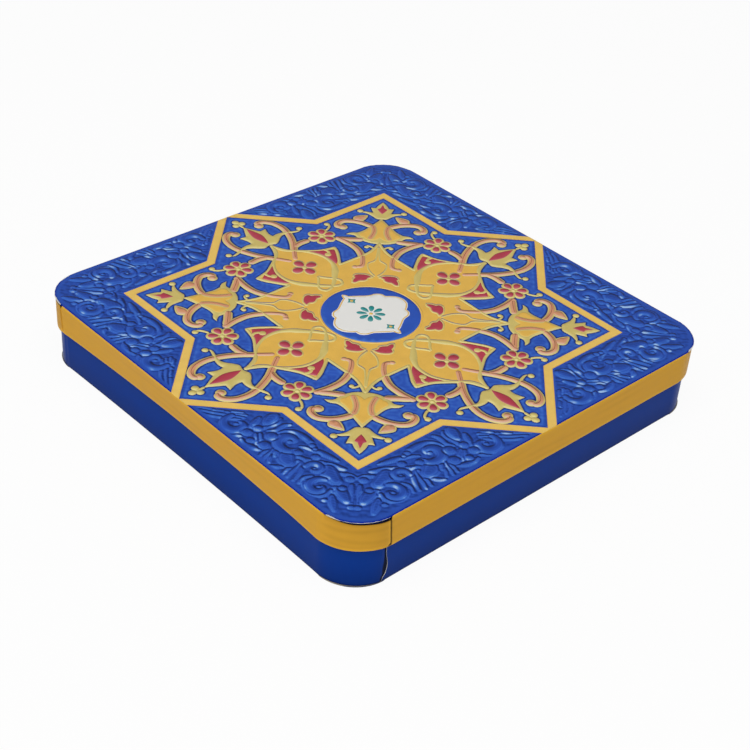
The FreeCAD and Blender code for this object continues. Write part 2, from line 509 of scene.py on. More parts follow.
def tray_bow(z):
    """Share of the bow on the tray: less at the floor, all of it from the lid's lower edge up."""
    return BOW_AT_FLOOR + (1 - BOW_AT_FLOOR) * smooth_step(z / LID_LOW)


def both_faces(front, back):
    """Values over the profile of a card's printed face, then back over the profile of its other face."""
    return np.concatenate((front, back[:, ::-1]), axis=1)


def folded_card(s, half, corner, out, height, thick):
    """Card carried along the outline. s, out and height, each path by profile, place its printed face:
    out metres beyond the outline at a height. The back lies a thickness behind, square to the profile.
    The two are joined along their edges and closed at both ends. Gives points, faces and which faces are
    bare card."""
    step_out, step_up = np.gradient(out, axis=1), np.gradient(height, axis=1)
    size = np.hypot(step_out, step_up)
    s = both_faces(s, s)
    place, normal = around_box(half, corner, s)
    beyond = both_faces(out, out + thick * step_up / size)
    up = both_faces(height, height - thick * step_out / size)
    points = np.concatenate((place + normal * beyond[..., None], up[..., None]), -1).reshape(-1, 3)
    count, width = s.shape
    j = np.arange(width // 2 - 1)
    cap = np.column_stack((j, width - 1 - j, width - 2 - j, j + 1))
    quads = np.vstack((grid_quads(count, width, tube=True), cap, cap[:, ::-1] + (count - 1) * width))
    behind = np.tile(np.arange(width) >= width // 2 - 1, count - 1)
    bare = np.concatenate((behind, np.ones(2 * len(j), bool)))
    return points, quads, bare


def card_panel(half, corner, s, inset, height):
    """A sheet whose edge profile, path by profile, goes round a rounded square and closes in the middle
    of both faces with a fan: inset metres inside the outline at a height."""
    count, width = inset.shape
    place, normal = around_box(half, corner, np.broadcast_to(s, inset.shape))
    points = np.concatenate((place - normal * inset[..., None], height[..., None]), -1)
    ring, after = np.arange(count), np.roll(np.arange(count), -1)
    pole = np.full(count, count * width)
    fan = np.column_stack((ring * width, after * width, pole))
    other = np.column_stack((after * width + width - 1, ring * width + width - 1, pole + 1))
    poles = ((0, 0, height[0, 0]), (0, 0, height[0, -1]))
    points = np.vstack((points.reshape(-1, 3), poles))
    return points, grid_quads(count, width, ring=True), np.vstack((fan, other))


# Meshes and how they join the frame

# Painted light and shade on the raised print: the way towards a fixed light at the front right, and how
# many times steeper than built its slopes are taken to be
PAINTED_LIGHT_WAY = np.array((0.6, -0.8, 0.0))
PAINTED_SLOPE_DEPTH = 4.5
SHARP_FROM = math.radians(50)


def make_piece(name, parts, body, nodes, materials, bare=None, values=None):
    """A mesh object at the origin from its points and faces, with faces outwards, that rides on a body
    and stands for construction nodes. Bare faces take the second material. Values are kept by vertex as
    the shade attribute, or else painted light and shade is: lighter on slopes that face a fixed light at
    the front right, darker on those that face away."""
    points, quads, tris = parts
    mesh = bpy.data.meshes.new(name)
    corners = np.concatenate((quads.ravel(), tris.ravel())).astype(np.int32)
    starts = np.concatenate((np.arange(len(quads)) * 4, len(quads) * 4 + np.arange(len(tris)) * 3))
    mesh.vertices.add(len(points))
    mesh.vertices.foreach_set("co", np.ascontiguousarray(points, np.float32).ravel())
    mesh.loops.add(len(corners))
    mesh.loops.foreach_set("vertex_index", corners)
    mesh.polygons.add(len(starts))
    mesh.polygons.foreach_set("loop_start", starts.astype(np.int32))
    if bare is not None:
        mesh.polygons.foreach_set("material_index", np.asarray(bare, np.int32))
    mesh.update(calc_edges=True)
    mesh.validate()
    shell = bmesh.new()
    shell.from_mesh(mesh)
    if any(edge.is_boundary for edge in shell.edges):
        if sum(face.normal.z * face.calc_area() for face in shell.faces) <= 0:
            bmesh.ops.reverse_faces(shell, faces=shell.faces[:])
    else:
        bmesh.ops.recalc_face_normals(shell, faces=shell.faces[:])
    shell.to_mesh(mesh)
    shell.free()
    mesh.set_sharp_from_angle(angle=SHARP_FROM)
    # Painted light and shade from the slopes, under the fixed light
    if values is None:
        normals = np.empty(len(mesh.vertices) * 3, np.float32)
        mesh.vertex_normals.foreach_get("vector", normals)
        normals = normals.reshape(-1, 3) / (1, 1, PAINTED_SLOPE_DEPTH)
        values = 0.5 + 0.5 * normals @ PAINTED_LIGHT_WAY / np.linalg.norm(normals, axis=1)
    shade = mesh.attributes.new("shade", "FLOAT", "POINT")
    shade.data.foreach_set("value", np.asarray(values, np.float32))
    for material in materials:
        mesh.materials.append(bpy.data.materials[material])
    piece = bpy.data.objects.new(name, mesh)
    bpy.context.scene.collection.objects.link(piece)
    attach(piece, body)
    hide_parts(*nodes)
    return piece


def on_lid(points):
    """Print places in units, with heights over the top, as places in metres on the lid."""
    shift = bpy.context.scene.gift_box_ornament.shift
    return (points + (shift[0], shift[1], 0)) * UNIT + (0, 0, LID_TOP)


def make_printed(name, parts, material, values=None):
    """A piece of the print on the lid's top."""
    make_piece(name, parts, "lid", ("lid_top_panel",), (material,), values=values)


def make_print(name, relief, material, offset=(0, 0)):
    """The raised shapes of one ink as a piece on the lid, moved by an offset."""
    points, quads, tris = relief.mesh_parts()
    make_printed(name, (on_lid(points + (offset[0], offset[1], 0)), quads, tris), material)


# Inks, card, board and paper. A noise is its scale, detail, roughness and stretch

CLOUD_NOISE = (150, 3)
GRAIN_NOISE = (2600, 2)
COAT_NOISE = (900, 3)
FELT_NOISE = (1400, 4, 0.65, (1, 1, 2.5))
PATCH_NOISE = (60, 2)
GLOSS_SWING = 0.16
PATCH_SWING = 0.12
INK_BUMP = 0.05
INK_DEPTH = 0.0002
FIBRE_DEPTH = 0.0003
# Stops and tones of painted shade, and the colours that painted highlights are let down towards
DIM_STOP = 0.28
DIM_TONE = 0.45
HIGHLIGHT_WHITE = (0.9, 0.9, 0.9)
GOLD_HIGHLIGHT = (0.97, 0.80, 0.28)
PALE_HIGHLIGHT = (0.95, 0.88, 0.42)
RED_HIGHLIGHT = (0.85, 0.42, 0.50)
SALMON_HIGHLIGHT = (0.93, 0.75, 0.64)
BAND_HIGHLIGHT = (0.95, 0.56, 0.03)
DIM_BLUE = (0.55, 0.57, 0.62)


def new_group(name, inputs, outputs):
    """An empty shader node group with named sockets, and its input and output nodes."""
    tree = bpy.data.node_groups.new(name, "ShaderNodeTree")
    for label, kind, value in inputs:
        tree.interface.new_socket(label, in_out="INPUT", socket_type=kind).default_value = value
    for label, kind in outputs:
        tree.interface.new_socket(label, in_out="OUTPUT", socket_type=kind)
    return tree, tree.nodes.new("NodeGroupInput"), tree.nodes.new("NodeGroupOutput")


def noise(tree, scale, detail, roughness=0.5, stretch=(1, 1, 1)):
    """A noise texture on Object coordinates, stretched along the axes."""
    place = tree.nodes.new("ShaderNodeTexCoord")
    mapping = tree.nodes.new("ShaderNodeMapping")
    mapping.inputs["Scale"].default_value = stretch
    tree.links.new(place.outputs["Object"], mapping.inputs["Vector"])
    texture = tree.nodes.new("ShaderNodeTexNoise")
    texture.inputs["Scale"].default_value = scale
    texture.inputs["Detail"].default_value = detail
    texture.inputs["Roughness"].default_value = roughness
    tree.links.new(mapping.outputs["Vector"], texture.inputs["Vector"])
    return texture.outputs["Fac"]


def math_node(tree, operation, first, second, third=None):
    """A math node on sockets or plain numbers."""
    node = tree.nodes.new("ShaderNodeMath")
    node.operation = operation
    for socket, value in zip(node.inputs, (first, second, third)):
        if isinstance(value, bpy.types.NodeSocket):
            tree.links.new(value, socket)
        elif value is not None:
            socket.default_value = value
    return node.outputs[0]


def swing(tree, *texture):
    """A noise texture about zero."""
    return math_node(tree, "SUBTRACT", noise(tree, *texture), 0.5)


def link_varied(tree, colour, strength, result):
    """Links a colour to a result, brighter or darker by a strength."""
    tone = tree.nodes.new("ShaderNodeHueSaturation")
    tree.links.new(colour, tone.inputs["Color"])
    tree.links.new(strength, tone.inputs["Value"])
    tree.links.new(tone.outputs["Color"], result)


def make_print_finish():
    """Ink on coated card: slow clouds and fine grain in the ink's strength, in its gloss and in its
    height."""
    tree, given, made = new_group(
        "print_finish",
        (("Ink", "NodeSocketColor", (1, 1, 1, 1)), ("Cloud", "NodeSocketFloat", 0.1),
         ("Grain", "NodeSocketFloat", 0.1), ("Gloss", "NodeSocketFloat", 0.35)),
        (("Ink", "NodeSocketColor"), ("Roughness", "NodeSocketFloat"), ("Height", "NodeSocketFloat")))
    cloud = swing(tree, *CLOUD_NOISE)
    strength = math_node(tree, "MULTIPLY_ADD", cloud, given.outputs["Cloud"], 1.0)
    strength = math_node(tree, "MULTIPLY_ADD", swing(tree, *GRAIN_NOISE), given.outputs["Grain"], strength)
    link_varied(tree, given.outputs["Ink"], strength, made.inputs["Ink"])
    roughness = math_node(tree, "MULTIPLY_ADD", cloud, GLOSS_SWING, given.outputs["Gloss"])
    tree.links.new(roughness, made.inputs["Roughness"])
    tree.links.new(noise(tree, *COAT_NOISE), made.inputs["Height"])


def make_fibre_finish():
    """Pressed fibre: flecks darker and lighter than the colour, and a felted height."""
    tree, given, made = new_group(
        "fibre_finish",
        (("Colour", "NodeSocketColor", (1, 1, 1, 1)), ("Fleck", "NodeSocketFloat", 0.3)),
        (("Colour", "NodeSocketColor"), ("Height", "NodeSocketFloat")))
    felt = noise(tree, *FELT_NOISE)
    fleck = math_node(tree, "SUBTRACT", felt, 0.5)
    strength = math_node(tree, "MULTIPLY_ADD", fleck, given.outputs["Fleck"], 1.0)
    strength = math_node(tree, "MULTIPLY_ADD", swing(tree, *PATCH_NOISE), PATCH_SWING, strength)
    link_varied(tree, given.outputs["Colour"], strength, made.inputs["Colour"])
    tree.links.new(felt, made.inputs["Height"])


def new_material(name):
    """A material with a Principled shader, and that shader."""
    material = bpy.data.materials.new(name)
    material.use_nodes = True
    return material.node_tree, material.node_tree.nodes["Principled BSDF"]


def add_finish(tree, group, values):
    """A finish as a node of the tree, with plain values in its inputs."""
    finish = tree.nodes.new("ShaderNodeGroup")
    finish.node_tree = bpy.data.node_groups[group]
    for label, value in values.items():
        finish.inputs[label].default_value = value
    return finish


def add_bump(tree, shader, height, strength, distance):
    """A bump of that depth on the shader."""
    bump = tree.nodes.new("ShaderNodeBump")
    bump.inputs["Strength"].default_value = strength
    bump.inputs["Distance"].default_value = distance
    tree.links.new(height, bump.inputs["Height"])
    tree.links.new(bump.outputs["Normal"], shader.inputs["Normal"])


def make_ink(name, stops, cloud=0.14, grain=0.1, gloss=0.36, shine=0.06):
    """A printed ink: the piece's shade attribute, which mostly carries painted light and shade, picks its
    tone from dark to light, and the print finish varies it."""
    tree, shader = new_material(name)
    shade = tree.nodes.new("ShaderNodeAttribute")
    shade.attribute_name = "shade"
    ramp = tree.nodes.new("ShaderNodeValToRGB")
    while len(ramp.color_ramp.elements) < len(stops):
        ramp.color_ramp.elements.new(0.5)
    for element, (place, colour) in zip(ramp.color_ramp.elements, stops):
        element.position = place
        element.color = (*colour, 1)
    tree.links.new(shade.outputs["Fac"], ramp.inputs["Fac"])
    finish = add_finish(tree, "print_finish", {"Cloud": cloud, "Grain": grain, "Gloss": gloss})
    tree.links.new(ramp.outputs["Color"], finish.inputs["Ink"])
    tree.links.new(finish.outputs["Ink"], shader.inputs["Base Color"])
    tree.links.new(finish.outputs["Roughness"], shader.inputs["Roughness"])
    shader.inputs["Specular IOR Level"].default_value = shine
    add_bump(tree, shader, finish.outputs["Height"], INK_BUMP, INK_DEPTH)


def make_fibre(name, colour, fleck, roughness, bump):
    """Board, paper or tape: one colour with the fibre finish."""
    tree, shader = new_material(name)
    finish = add_finish(tree, "fibre_finish", {"Colour": (*colour, 1), "Fleck": fleck})
    tree.links.new(finish.outputs["Colour"], shader.inputs["Base Color"])
    shader.inputs["Roughness"].default_value = roughness
    add_bump(tree, shader, finish.outputs["Height"], bump, FIBRE_DEPTH)


def toned(colour, dark, light, towards=HIGHLIGHT_WHITE):
    """Stops for the shade attribute: a dark tone of a colour for painted shade, through the colour, to the
    colour let down towards a lighter one for painted highlights."""
    base = np.array(colour)
    lightest = base + (np.array(towards) - base) * light
    dim = base * (DIM_TONE + (1 - DIM_TONE) * dark)
    return (0.0, base * dark), (DIM_STOP, dim), (0.5, base), (1.0, lightest)


# Outlines of the ornament, in units from the print's middle, with the star's point upwards

BODY_EDGE = (
    ((0, 80.5), (1.5, 76.5), (4, 72), (7.5, 68.8), (12, 65.5), (17.5, 62), (22, 60.5), (26.2, 59.6)),
    ((26.2, 59.6), (24.5, 55.5), (21.5, 51), (18.5, 46.8), (17, 44.6)),
    ((17, 44.6), (21, 44.5), (26, 44.4), (32, 44.3), (38, 44.7), (43.4, 46.3), (48.6, 48.6)),
)
PETAL_STRAND = (
    (0, 81.5), (2.4, 73.2), (10.2, 66.2), (14.9, 57.5), (15.2, 49.7), (12.5, 43.5), (7.5, 37.8), (3, 33.2),
    (-2.5, 29.5), (-5.5, 29.5), (-7, 32.5), (-4.8, 36.3), (-1.5, 40), (0, 42.5),
)
SHOULDER_LEAF = (
    ((15.7, 46), (18.5, 48.2), (22, 53.2), (24.6, 57.8)),
    ((24.6, 57.8), (21, 60.2), (16.5, 62.3), (12, 65.2)),
    ((12, 65.2), (13.5, 62), (15.7, 57.5), (16.3, 52), (15.7, 46)),
)
STRAND_WIDTH = ((0, 0.35, 0.47, 0.56, 0.66, 0.75, 1), (0.95, 1.1, 1.4, 2.3, 1.5, 1.0, 0.85))
SHOULDER_HOOK = ((19.8, 61.2), (20.6, 58.6), (19.2, 56))
RING_LEAF = (
    ((10.5, 27.3), (12.3, 29.2), (14.6, 30.2)),
    ((14.6, 30.2), (15.2, 31.8), (17.3, 32.2), (19.8, 30.7), (21.8, 28.2), (22.3, 26.2), (22.4, 24.7)),
    ((22.4, 24.7), (19.8, 25.5), (18.3, 24.7), (16.3, 25), (14.3, 26.2), (11.8, 26.2), (10.5, 27.3)),
)
CORNER_VEIN = ((23.8, 24.6), (25.6, 31.5), (29.5, 36.2), (34.3, 36.4), (38, 39), (42, 42.6), (45.5, 45.8))
CORNER_HOOK = ((42.2, 45.2), (42.7, 48), (42.1, 50), (41, 50.8))
STEM_TO_EDGE = (
    (1.2, 62), (4.2, 66.3), (7.5, 70.8), (11.2, 76), (14.3, 82), (16.4, 88), (17, 93.5), (15.7, 99.3),
    (12.5, 103.2), (9.4, 103.9), (7.8, 102.2),
)
STEM_TO_ROSETTE = ((8.6, 72.6), (13.5, 74), (20.5, 73.6))
STEM_TO_BODY = ((34, 67.5), (35.4, 59.8), (35.2, 51.6), (32.6, 45), (29, 40), (25, 36.8), (22.2, 38))
STEM_TO_TULIP = ((34.3, 65.6), (39, 61.2), (44.5, 56.8))
STEM_IN_TULIP = ((5.7, 71.6), (4.1, 76), (3.4, 80), (3.7, 83.6), (4.6, 86.6))
STEM_CURL = (
    (57.6, 63.9), (57, 67.5), (55.6, 71.4), (52.7, 75.7), (48.6, 78.5), (44.6, 78), (42.9, 75.8),
    (43.6, 74),
)
STEM_LEAF = (
    ((54.6, 75.6), (57, 78), (60.4, 77), (63.6, 75)),
    ((63.6, 75), (60.6, 73.4), (57.4, 72.6), (55.4, 73.6), (54.6, 75.6)),
)
ROSETTE_MIDDLE = (28.4, 72.6)
ROSETTE_TENDRIL = ((34.4, 76.2), (36.6, 77), (38.9, 78.6), (39.7, 80.2))
TULIP_EDGE = (
    ((0, 68.2), (3, 68.1), (6.4, 69), (9.7, 70.9), (12.2, 73.4), (13.8, 75.3), (16.2, 75.9), (18.6, 75.8)),
    ((18.6, 75.8), (16.2, 78), (12.6, 78.6)),
    ((12.6, 78.6), (9.6, 81), (6, 86), (2.8, 91), (0, 95.6)),
)
TULIP_FILL = (
    ((0, 74), (1.6, 72.2), (4.2, 71), (7, 71.8), (8.8, 73.6)),
    ((8.8, 73.6), (10.4, 74.4), (11.2, 76), (10.8, 77.8)),
    ((10.8, 77.8), (8.2, 80.6), (4.8, 86), (2, 90.2), (0, 93)),
)
CORNER_LOTUS = (
    ((0, 95), (2.8, 95.2), (4.9, 97.4), (7.2, 99.6), (9.4, 100.8), (11.6, 101.6)),
    ((11.6, 101.6), (9.6, 102.5), (7, 102.2), (5, 101.8)),
    ((5, 101.8), (5.6, 104), (6.6, 107.6)),
    ((6.6, 107.6), (5, 107.2), (3.6, 107.4)),
    ((3.6, 107.4), (2.4, 110.6), (0, 114.4)),
)
CORNER_KITE = (
    ((0, 100.3), (1.7, 103), (2.9, 105.8)),
    ((2.9, 105.8), (1.3, 106.8)),
    ((1.3, 106.8), (0, 111.2)),
)
EDGE_LOTUS = (
    ((0, 82), (1.5, 81.7), (3.8, 81), (6.8, 82.5), (9.3, 84.6), (12.3, 86), (15.3, 85.6), (18.3, 84.6),
     (21.4, 83.9), (23.6, 84.7)),
    ((23.6, 84.7), (21.2, 85.3), (18.8, 86.2), (16, 87.4), (13.3, 88.4), (10.2, 88.9), (7.2, 88.4)),
    ((7.2, 88.4), (7, 91.2), (7.8, 94.2), (8.9, 96.7)),
    ((8.9, 96.7), (6.3, 96.4), (4.8, 96.2)),
    ((4.8, 96.2), (3.2, 99.2), (1.5, 102.2), (0, 105.2)),
)
EDGE_ALMOND = (((0, 83), (1.9, 87.5), (2.8, 92), (1.9, 97), (0, 102.3)),)
MEDALLION = (
    ((0, 22.9), (3.5, 22), (6.3, 19.6), (8, 17.3)),
    ((8, 17.3), (10.4, 17), (12.6, 15), (13.4, 12.2)),
    ((13.4, 12.2), (13.9, 10.4), (15.7, 7.6), (18.2, 3.8), (19.4, 1.5)),
    ((19.4, 1.5), (21.2, 1.1), (22.6, 0)),
)
LOZENGE = (((0, 3.2), (1.2, 1.2), (3.2, 0)),)
DIAGONAL = -QUARTER / 2

# The knot in each petal: its middle, and the reach and taper of its four drops
KNOT_MIDDLE = (0, 53.2)
KNOT_REACH = 4.4
KNOT_TAPER = 0.12
# Each stem with its half width, its height, its base and its first turn
STEMS = (
    (STEM_TO_EDGE, 1.45, 0.42, ROOT, 0), (STEM_TO_ROSETTE, 1.45, 0.44, ROOT, 0),
    (STEM_TO_BODY, 1.45, 0.46, ROOT, 0), (STEM_TO_TULIP, 1.6, 0.45, ROOT, 0),
    (STEM_IN_TULIP, 1.1, 0.66, 0.42, DIAGONAL), (STEM_CURL, 1.45, 0.44, ROOT, 0),
)
STEM_DOTS = (((8, 101.4), 2.3), ((44.4, 73.6), 2.3), ((21.9, 38.2), 2.0))
LOTUS_DOTS = (((24, 86.4), 1.75, 0), ((2.0, 108.6), 2.0, 0), ((12.2, 102.8), 1.8, DIAGONAL))
ROSETTE_START = 52
LOZENGE_REACH = 14.6
DISC_STEPS = 240
# The star's border across its width: share, height and tone
BORDER_ACROSS = (0, 0.03, 0.12, 0.2, 0.8, 0.88, 0.97, 1)
BORDER_LIFT = (-0.1, 0.14, 0.2, 0.2, 0.2, 0.2, 0.14, -0.1)
BORDER_TONE = (0.4, 0.52, 0.66, 0.7, 0.7, 0.66, 0.52, 0.4)
BORDER_STEPS = 130
BORDER_ROWS = 8
BORDER_TURN = 1.1
BORDER_SINK = 0.55
BORDER_LOW = 0.1

# The carved leaves of one half corner, undermost first: points across and up, half width, taper and veins
FIELD_LEAVES = (
    (((91.5, 79), (93.2, 72), (95.5, 65), (98, 61)), 1.5, 0.7, 0.0),
    (((93, 85), (96, 79.5), (99.5, 74.5), (102.5, 69), (103.5, 64)), 1.9, 0.6, 0.04),
    (((93, 93), (95, 88), (97.5, 85)), 1.4, 0.6, 0.0),
    (((104.5, 70), (109, 74), (115.5, 77)), 1.1, 0.5, 0.0),
    (((104.5, 69), (110, 71), (116.3, 73.8)), 1.1, 0.5, 0.0),
    (((105, 68), (110, 69), (116.5, 70.6)), 1.0, 0.5, 0.0),
    (((107, 80), (111, 78.6), (115, 80)), 1.0, 0.6, 0.0),
    (((112, 67), (114.8, 66), (117, 62.8)), 1.2, 0.7, 0.0),
    (((107, 55), (111.5, 57.5), (116, 61)), 1.0, 0.5, 0.0),
    (((107, 54), (112, 55.8), (117, 58)), 1.0, 0.5, 0.0),
    (((108, 53), (112.5, 54), (116.6, 55)), 0.9, 0.5, 0.0),
    (((94, 66.5), (92.3, 58), (94, 50.5), (99, 47.4)), 1.5, 0.5, 0.0),
    (((91.5, 46), (95, 44.6), (99, 45.2), (102, 43.6)), 1.2, 0.5, 0.0),
    (((92, 40), (95, 41.8), (98.5, 41), (104, 41)), 1.1, 0.4, 0.0),
    (((92.5, 36.4), (95.5, 37.6), (99, 38.6)), 3.0, 0.4, 0.04),
    (((99, 33.5), (103, 35.2), (107, 37.2)), 1.5, 0.6, 0.04),
    (((113.2, 52), (115.6, 47), (115.2, 41)), 1.6, 0.6, 0.04),
    (((114, 39), (116.4, 33.5), (115.6, 27)), 1.5, 0.7, 0.04),
    (((103, 28.5), (108, 21.6), (113, 14.6), (117, 8.5)), 0.9, 0.3, 0.0),
    (((104.8, 29.4), (109.8, 22.8), (114.3, 16.6), (117.4, 11.5)), 0.9, 0.3, 0.0),
    (((107, 29.5), (111.8, 23.8), (115.6, 19), (117.4, 15)), 0.9, 0.3, 0.0),
    (((102.8, 26.2), (106, 22.6)), 0.6, 0.2, 0.0),
    (((109, 19.6), (112, 16.4)), 0.6, 0.2, 0.0),
    (((97.5, 95), (101, 98.4), (105, 101.8), (108, 106)), 1.3, 0.5, 0.0),
    (((104, 92), (105, 96.6), (106.4, 101.4)), 3.1, 0.5, 0.04),
    (((109, 95), (112, 99), (114.6, 103)), 1.9, 0.6, 0.04),
    (((107, 92), (112, 92.2), (115, 87), (113.5, 82), (110, 80.6)), 1.3, 0.4, 0.0),
    (((98.4, 80.6), (100.6, 84.4), (101.4, 88.6)), 3.9, 0.3, 0.04),
    (((106, 60.6), (108.6, 63.6), (109.4, 66.4)), 4.2, 0.3, 0.04),
    (((103.6, 58.4), (107.4, 57), (111.2, 59.6)), 1.2, 0.5, 0.0),
    (((106, 43), (108, 46), (110.4, 49)), 0.8, 0.3, 0.0),
    (((107.8, 42), (110, 45), (112, 48)), 0.8, 0.3, 0.0),
)
# The scrolls of one half corner: middle across and up, radius, start in degrees and hand
FIELD_SCROLLS = (
    (109.5, 87, 4.8, 200, 1),
    (99.5, 55.5, 6.2, 80, -1),
    (110.2, 31, 6.0, 250, 1),
    (103, 76.5, 3.4, 300, -1),
)
# The beads and lobes of one half corner: middle across and up, and radius
FIELD_BEADS = (
    (103.5, 47.4, 3.0), (110, 50.6, 3.0), (112.6, 44, 2.0), (104.6, 39.4, 2.2), (110.2, 38.6, 2.6),
    (107.6, 105.6, 1.6), (95.6, 91.4, 2.1), (113.2, 95.2, 1.3), (97.4, 70.8, 2.1), (101.4, 63.6, 2.0),
    (93.4, 63.6, 1.5), (102.2, 94, 1.7),
)
MOAT = 0.9
STEP_UP = 0.35
DOME_POWER = 0.6
VEIN_PITCH = 1.9
VEIN_SLANT = 0.9
LEAF_EDGE = 0.2
SCROLL_TURN = 1.7 * math.pi
SCROLL_CORE = 0.7
SCROLL_WIDTH = 0.34
SCROLL_EYE = 0.2
SCROLL_STEPS = 70
SCROLL_CLOSING = 0.7
SCROLL_SWELL = (0.12, 0.8)
LEAF_SWELL = 0.8
FIELD_GROUND = 0.16
FIELD_WAVE = 0.1


def carve(height, a, b, line, half, veins=0.0):
    """Lays one rounded stroke over the heights of the field at the places a, b. Inside its half width it
    stands as half an ellipse on a step, with slanting veins along it. Just outside, what lies below sinks
    into a moat."""
    reach = half.max() + MOAT
    low, high = line.min(0) - reach, line.max(0) + reach
    box = (a > low[0]) & (a < high[0]) & (b > low[1]) & (b < high[1])
    gap = np.hypot(a[box][:, None] - line[:, 0], b[box][:, None] - line[:, 1])
    nearest = (gap / half).argmin(1)
    gap = gap[np.arange(len(nearest)), nearest]
    width = half[nearest]
    dome = np.clip(1 - (gap / width) ** 2, 0, 1) ** DOME_POWER
    groove = veins * np.cos(2 * math.pi * (nearest * LINE_STEP - VEIN_SLANT * gap) / VEIN_PITCH)
    sunk = height[box] * smooth_step((gap - width) / MOAT)
    height[box] = np.where(gap < width, STEP_UP + (1 - STEP_UP) * dome + groove * dome, sunk)


def carved_height(x, y):
    """Height of the carved corner field, 0 to about 1: leaves, spiral scrolls and beads laid over one
    another on a ground of slow waves. One half is worked out, and the diagonal mirrors it."""
    a, b = np.maximum(x, y), np.minimum(x, y)
    waves = FIELD_WAVE * np.sin(1.3 * a + np.sin(0.9 * b)) * np.sin(1.1 * b + np.sin(0.8 * a))
    height = FIELD_GROUND + waves
    for points, half, taper, veins in FIELD_LEAVES:
        line = spline(points)
        share = np.linspace(0, 1, len(line))
        width = half * (1 - taper + taper * np.sin(math.pi * share ** LEAF_SWELL)) + LEAF_EDGE
        carve(height, a, b, line, width, veins)
    turn = np.linspace(0, 1, SCROLL_STEPS)
    swell = np.sin(math.pi * (SCROLL_SWELL[0] + SCROLL_SWELL[1] * turn))
    for across, up, radius, start, hand in FIELD_SCROLLS:
        angle = math.radians(start) + hand * SCROLL_TURN * turn
        reach = radius * (1 - turn) ** SCROLL_CLOSING + SCROLL_CORE
        spiral = np.column_stack((across + reach * np.cos(angle), up + reach * np.sin(angle)))
        width = SCROLL_CORE + radius * SCROLL_WIDTH * swell
        carve(height, a, b, spiral, width)
        carve(height, a, b, np.array(((across, up),)), np.array((SCROLL_EYE * radius,)))
    for across, up, radius in FIELD_BEADS:
        carve(height, a, b, np.array(((across, up),)), np.array((radius,)))
    return height


def star_level(points):
    """Half side of the eight-pointed star through a place: the smaller of the two squares' own
    measures."""
    x, y = np.abs(points[..., 0]), np.abs(points[..., 1])
    return np.minimum(np.maximum(x, y), (x + y) / math.sqrt(2))


def lid_inset(points):
    """Distance inside the lid's outline, a rounded square, in units."""
    corner = bpy.context.scene.gift_box_sizes.top_corner / UNIT
    q = np.abs(points[..., :2]) - (UNITS_TO_EDGE - corner)
    outside = np.linalg.norm(np.maximum(q, 0), axis=-1) + np.minimum(q.max(-1), 0)
    return corner - outside


def square_grid(low, high, pitch):
    """Places across and up on a square grid, as two arrays."""
    axis = np.arange(low, high, pitch)
    return np.meshgrid(axis, axis, indexing="ij")


def masked_grid(keep):
    """Four-sided faces of a grid of points where all four corners are kept, and the numbers of the points
    used."""
    whole = keep[:-1, :-1] & keep[1:, :-1] & keep[1:, 1:] & keep[:-1, 1:]
    used, packed = np.unique(grid_quads(*keep.shape)[whole.ravel()][:, OTHER_WAY], return_inverse=True)
    return packed.reshape(-1, 4), used


def blurred(values, times):
    """Values on a grid, each made the mean of the nine about it, several times over."""
    for _ in range(times):
        values = sum(np.roll(values, (i, j), (0, 1)) for i in (-1, 0, 1) for j in (-1, 0, 1)) / 9
    return values


class GiftBoxInks(bpy.types.Operator):
    """Make the inks, card, board and paper"""
    bl_idname = "gift_box.inks"
    bl_label = "Inks and Papers"

    def execute(self, context):
        colours = context.scene.gift_box_colours
        make_print_finish()
        make_fibre_finish()
        # The blue ink's ramp runs from painted shade, through the blue, to painted light and painted glints
        dim_blue = np.array(colours.blue) * DIM_BLUE
        blue = ((0.0, colours.blue_deep), (0.3, dim_blue), (0.5, colours.blue), (0.72, colours.blue_light),
                (1.0, colours.blue_glint))
        make_ink("blue_print", blue, cloud=0.3, grain=0.16, shine=0.03)
        make_ink("blue_edge", toned(colours.blue_line, 0.6, 0.1), gloss=0.34, shine=0.03)
        make_ink("gold_print", toned(colours.gold, 0.4, 0.6, GOLD_HIGHLIGHT), cloud=0.22, grain=0.16)
        make_ink("pale_print", toned(colours.gold_pale, 0.6, 0.65, PALE_HIGHLIGHT), cloud=0.2, grain=0.16)
        make_ink("shadow_print", toned(colours.shadow, 0.7, 0.1), cloud=0.2)
        make_ink("red_print", toned(colours.red, 0.25, 0.45, RED_HIGHLIGHT), cloud=0.22, grain=0.16)
        make_ink("salmon_print", toned(colours.salmon, 0.13, 0.65, SALMON_HIGHLIGHT), cloud=0.22, grain=0.16)
        make_ink("brown_print", toned(colours.brown, 0.7, 0.1), cloud=0.3)
        make_ink("ivory_print", toned(colours.ivory, 0.6, 0.4), cloud=0.04, grain=0.03)
        make_ink("turquoise_print", toned(colours.turquoise, 0.4, 0.3))
        make_ink("band_card", toned(colours.band, 0.06, 0.8, BAND_HIGHLIGHT), 0.08, 0.05, 0.4, 0.05)
        make_ink("tray_card", toned(colours.tray, 0.08, 0.2), cloud=0.12, grain=0.06, shine=0.03)
        make_fibre("card_core", colours.core, 0.35, 0.85, 0.3)
        make_fibre("grey_board", colours.board, 0.7, 0.9, 0.45)
        make_fibre("white_lining", colours.lining, 0.12, 0.8, 0.2)
        make_fibre("kraft_tape", colours.tape, 0.4, 0.7, 0.3)
        return {"FINISHED"}


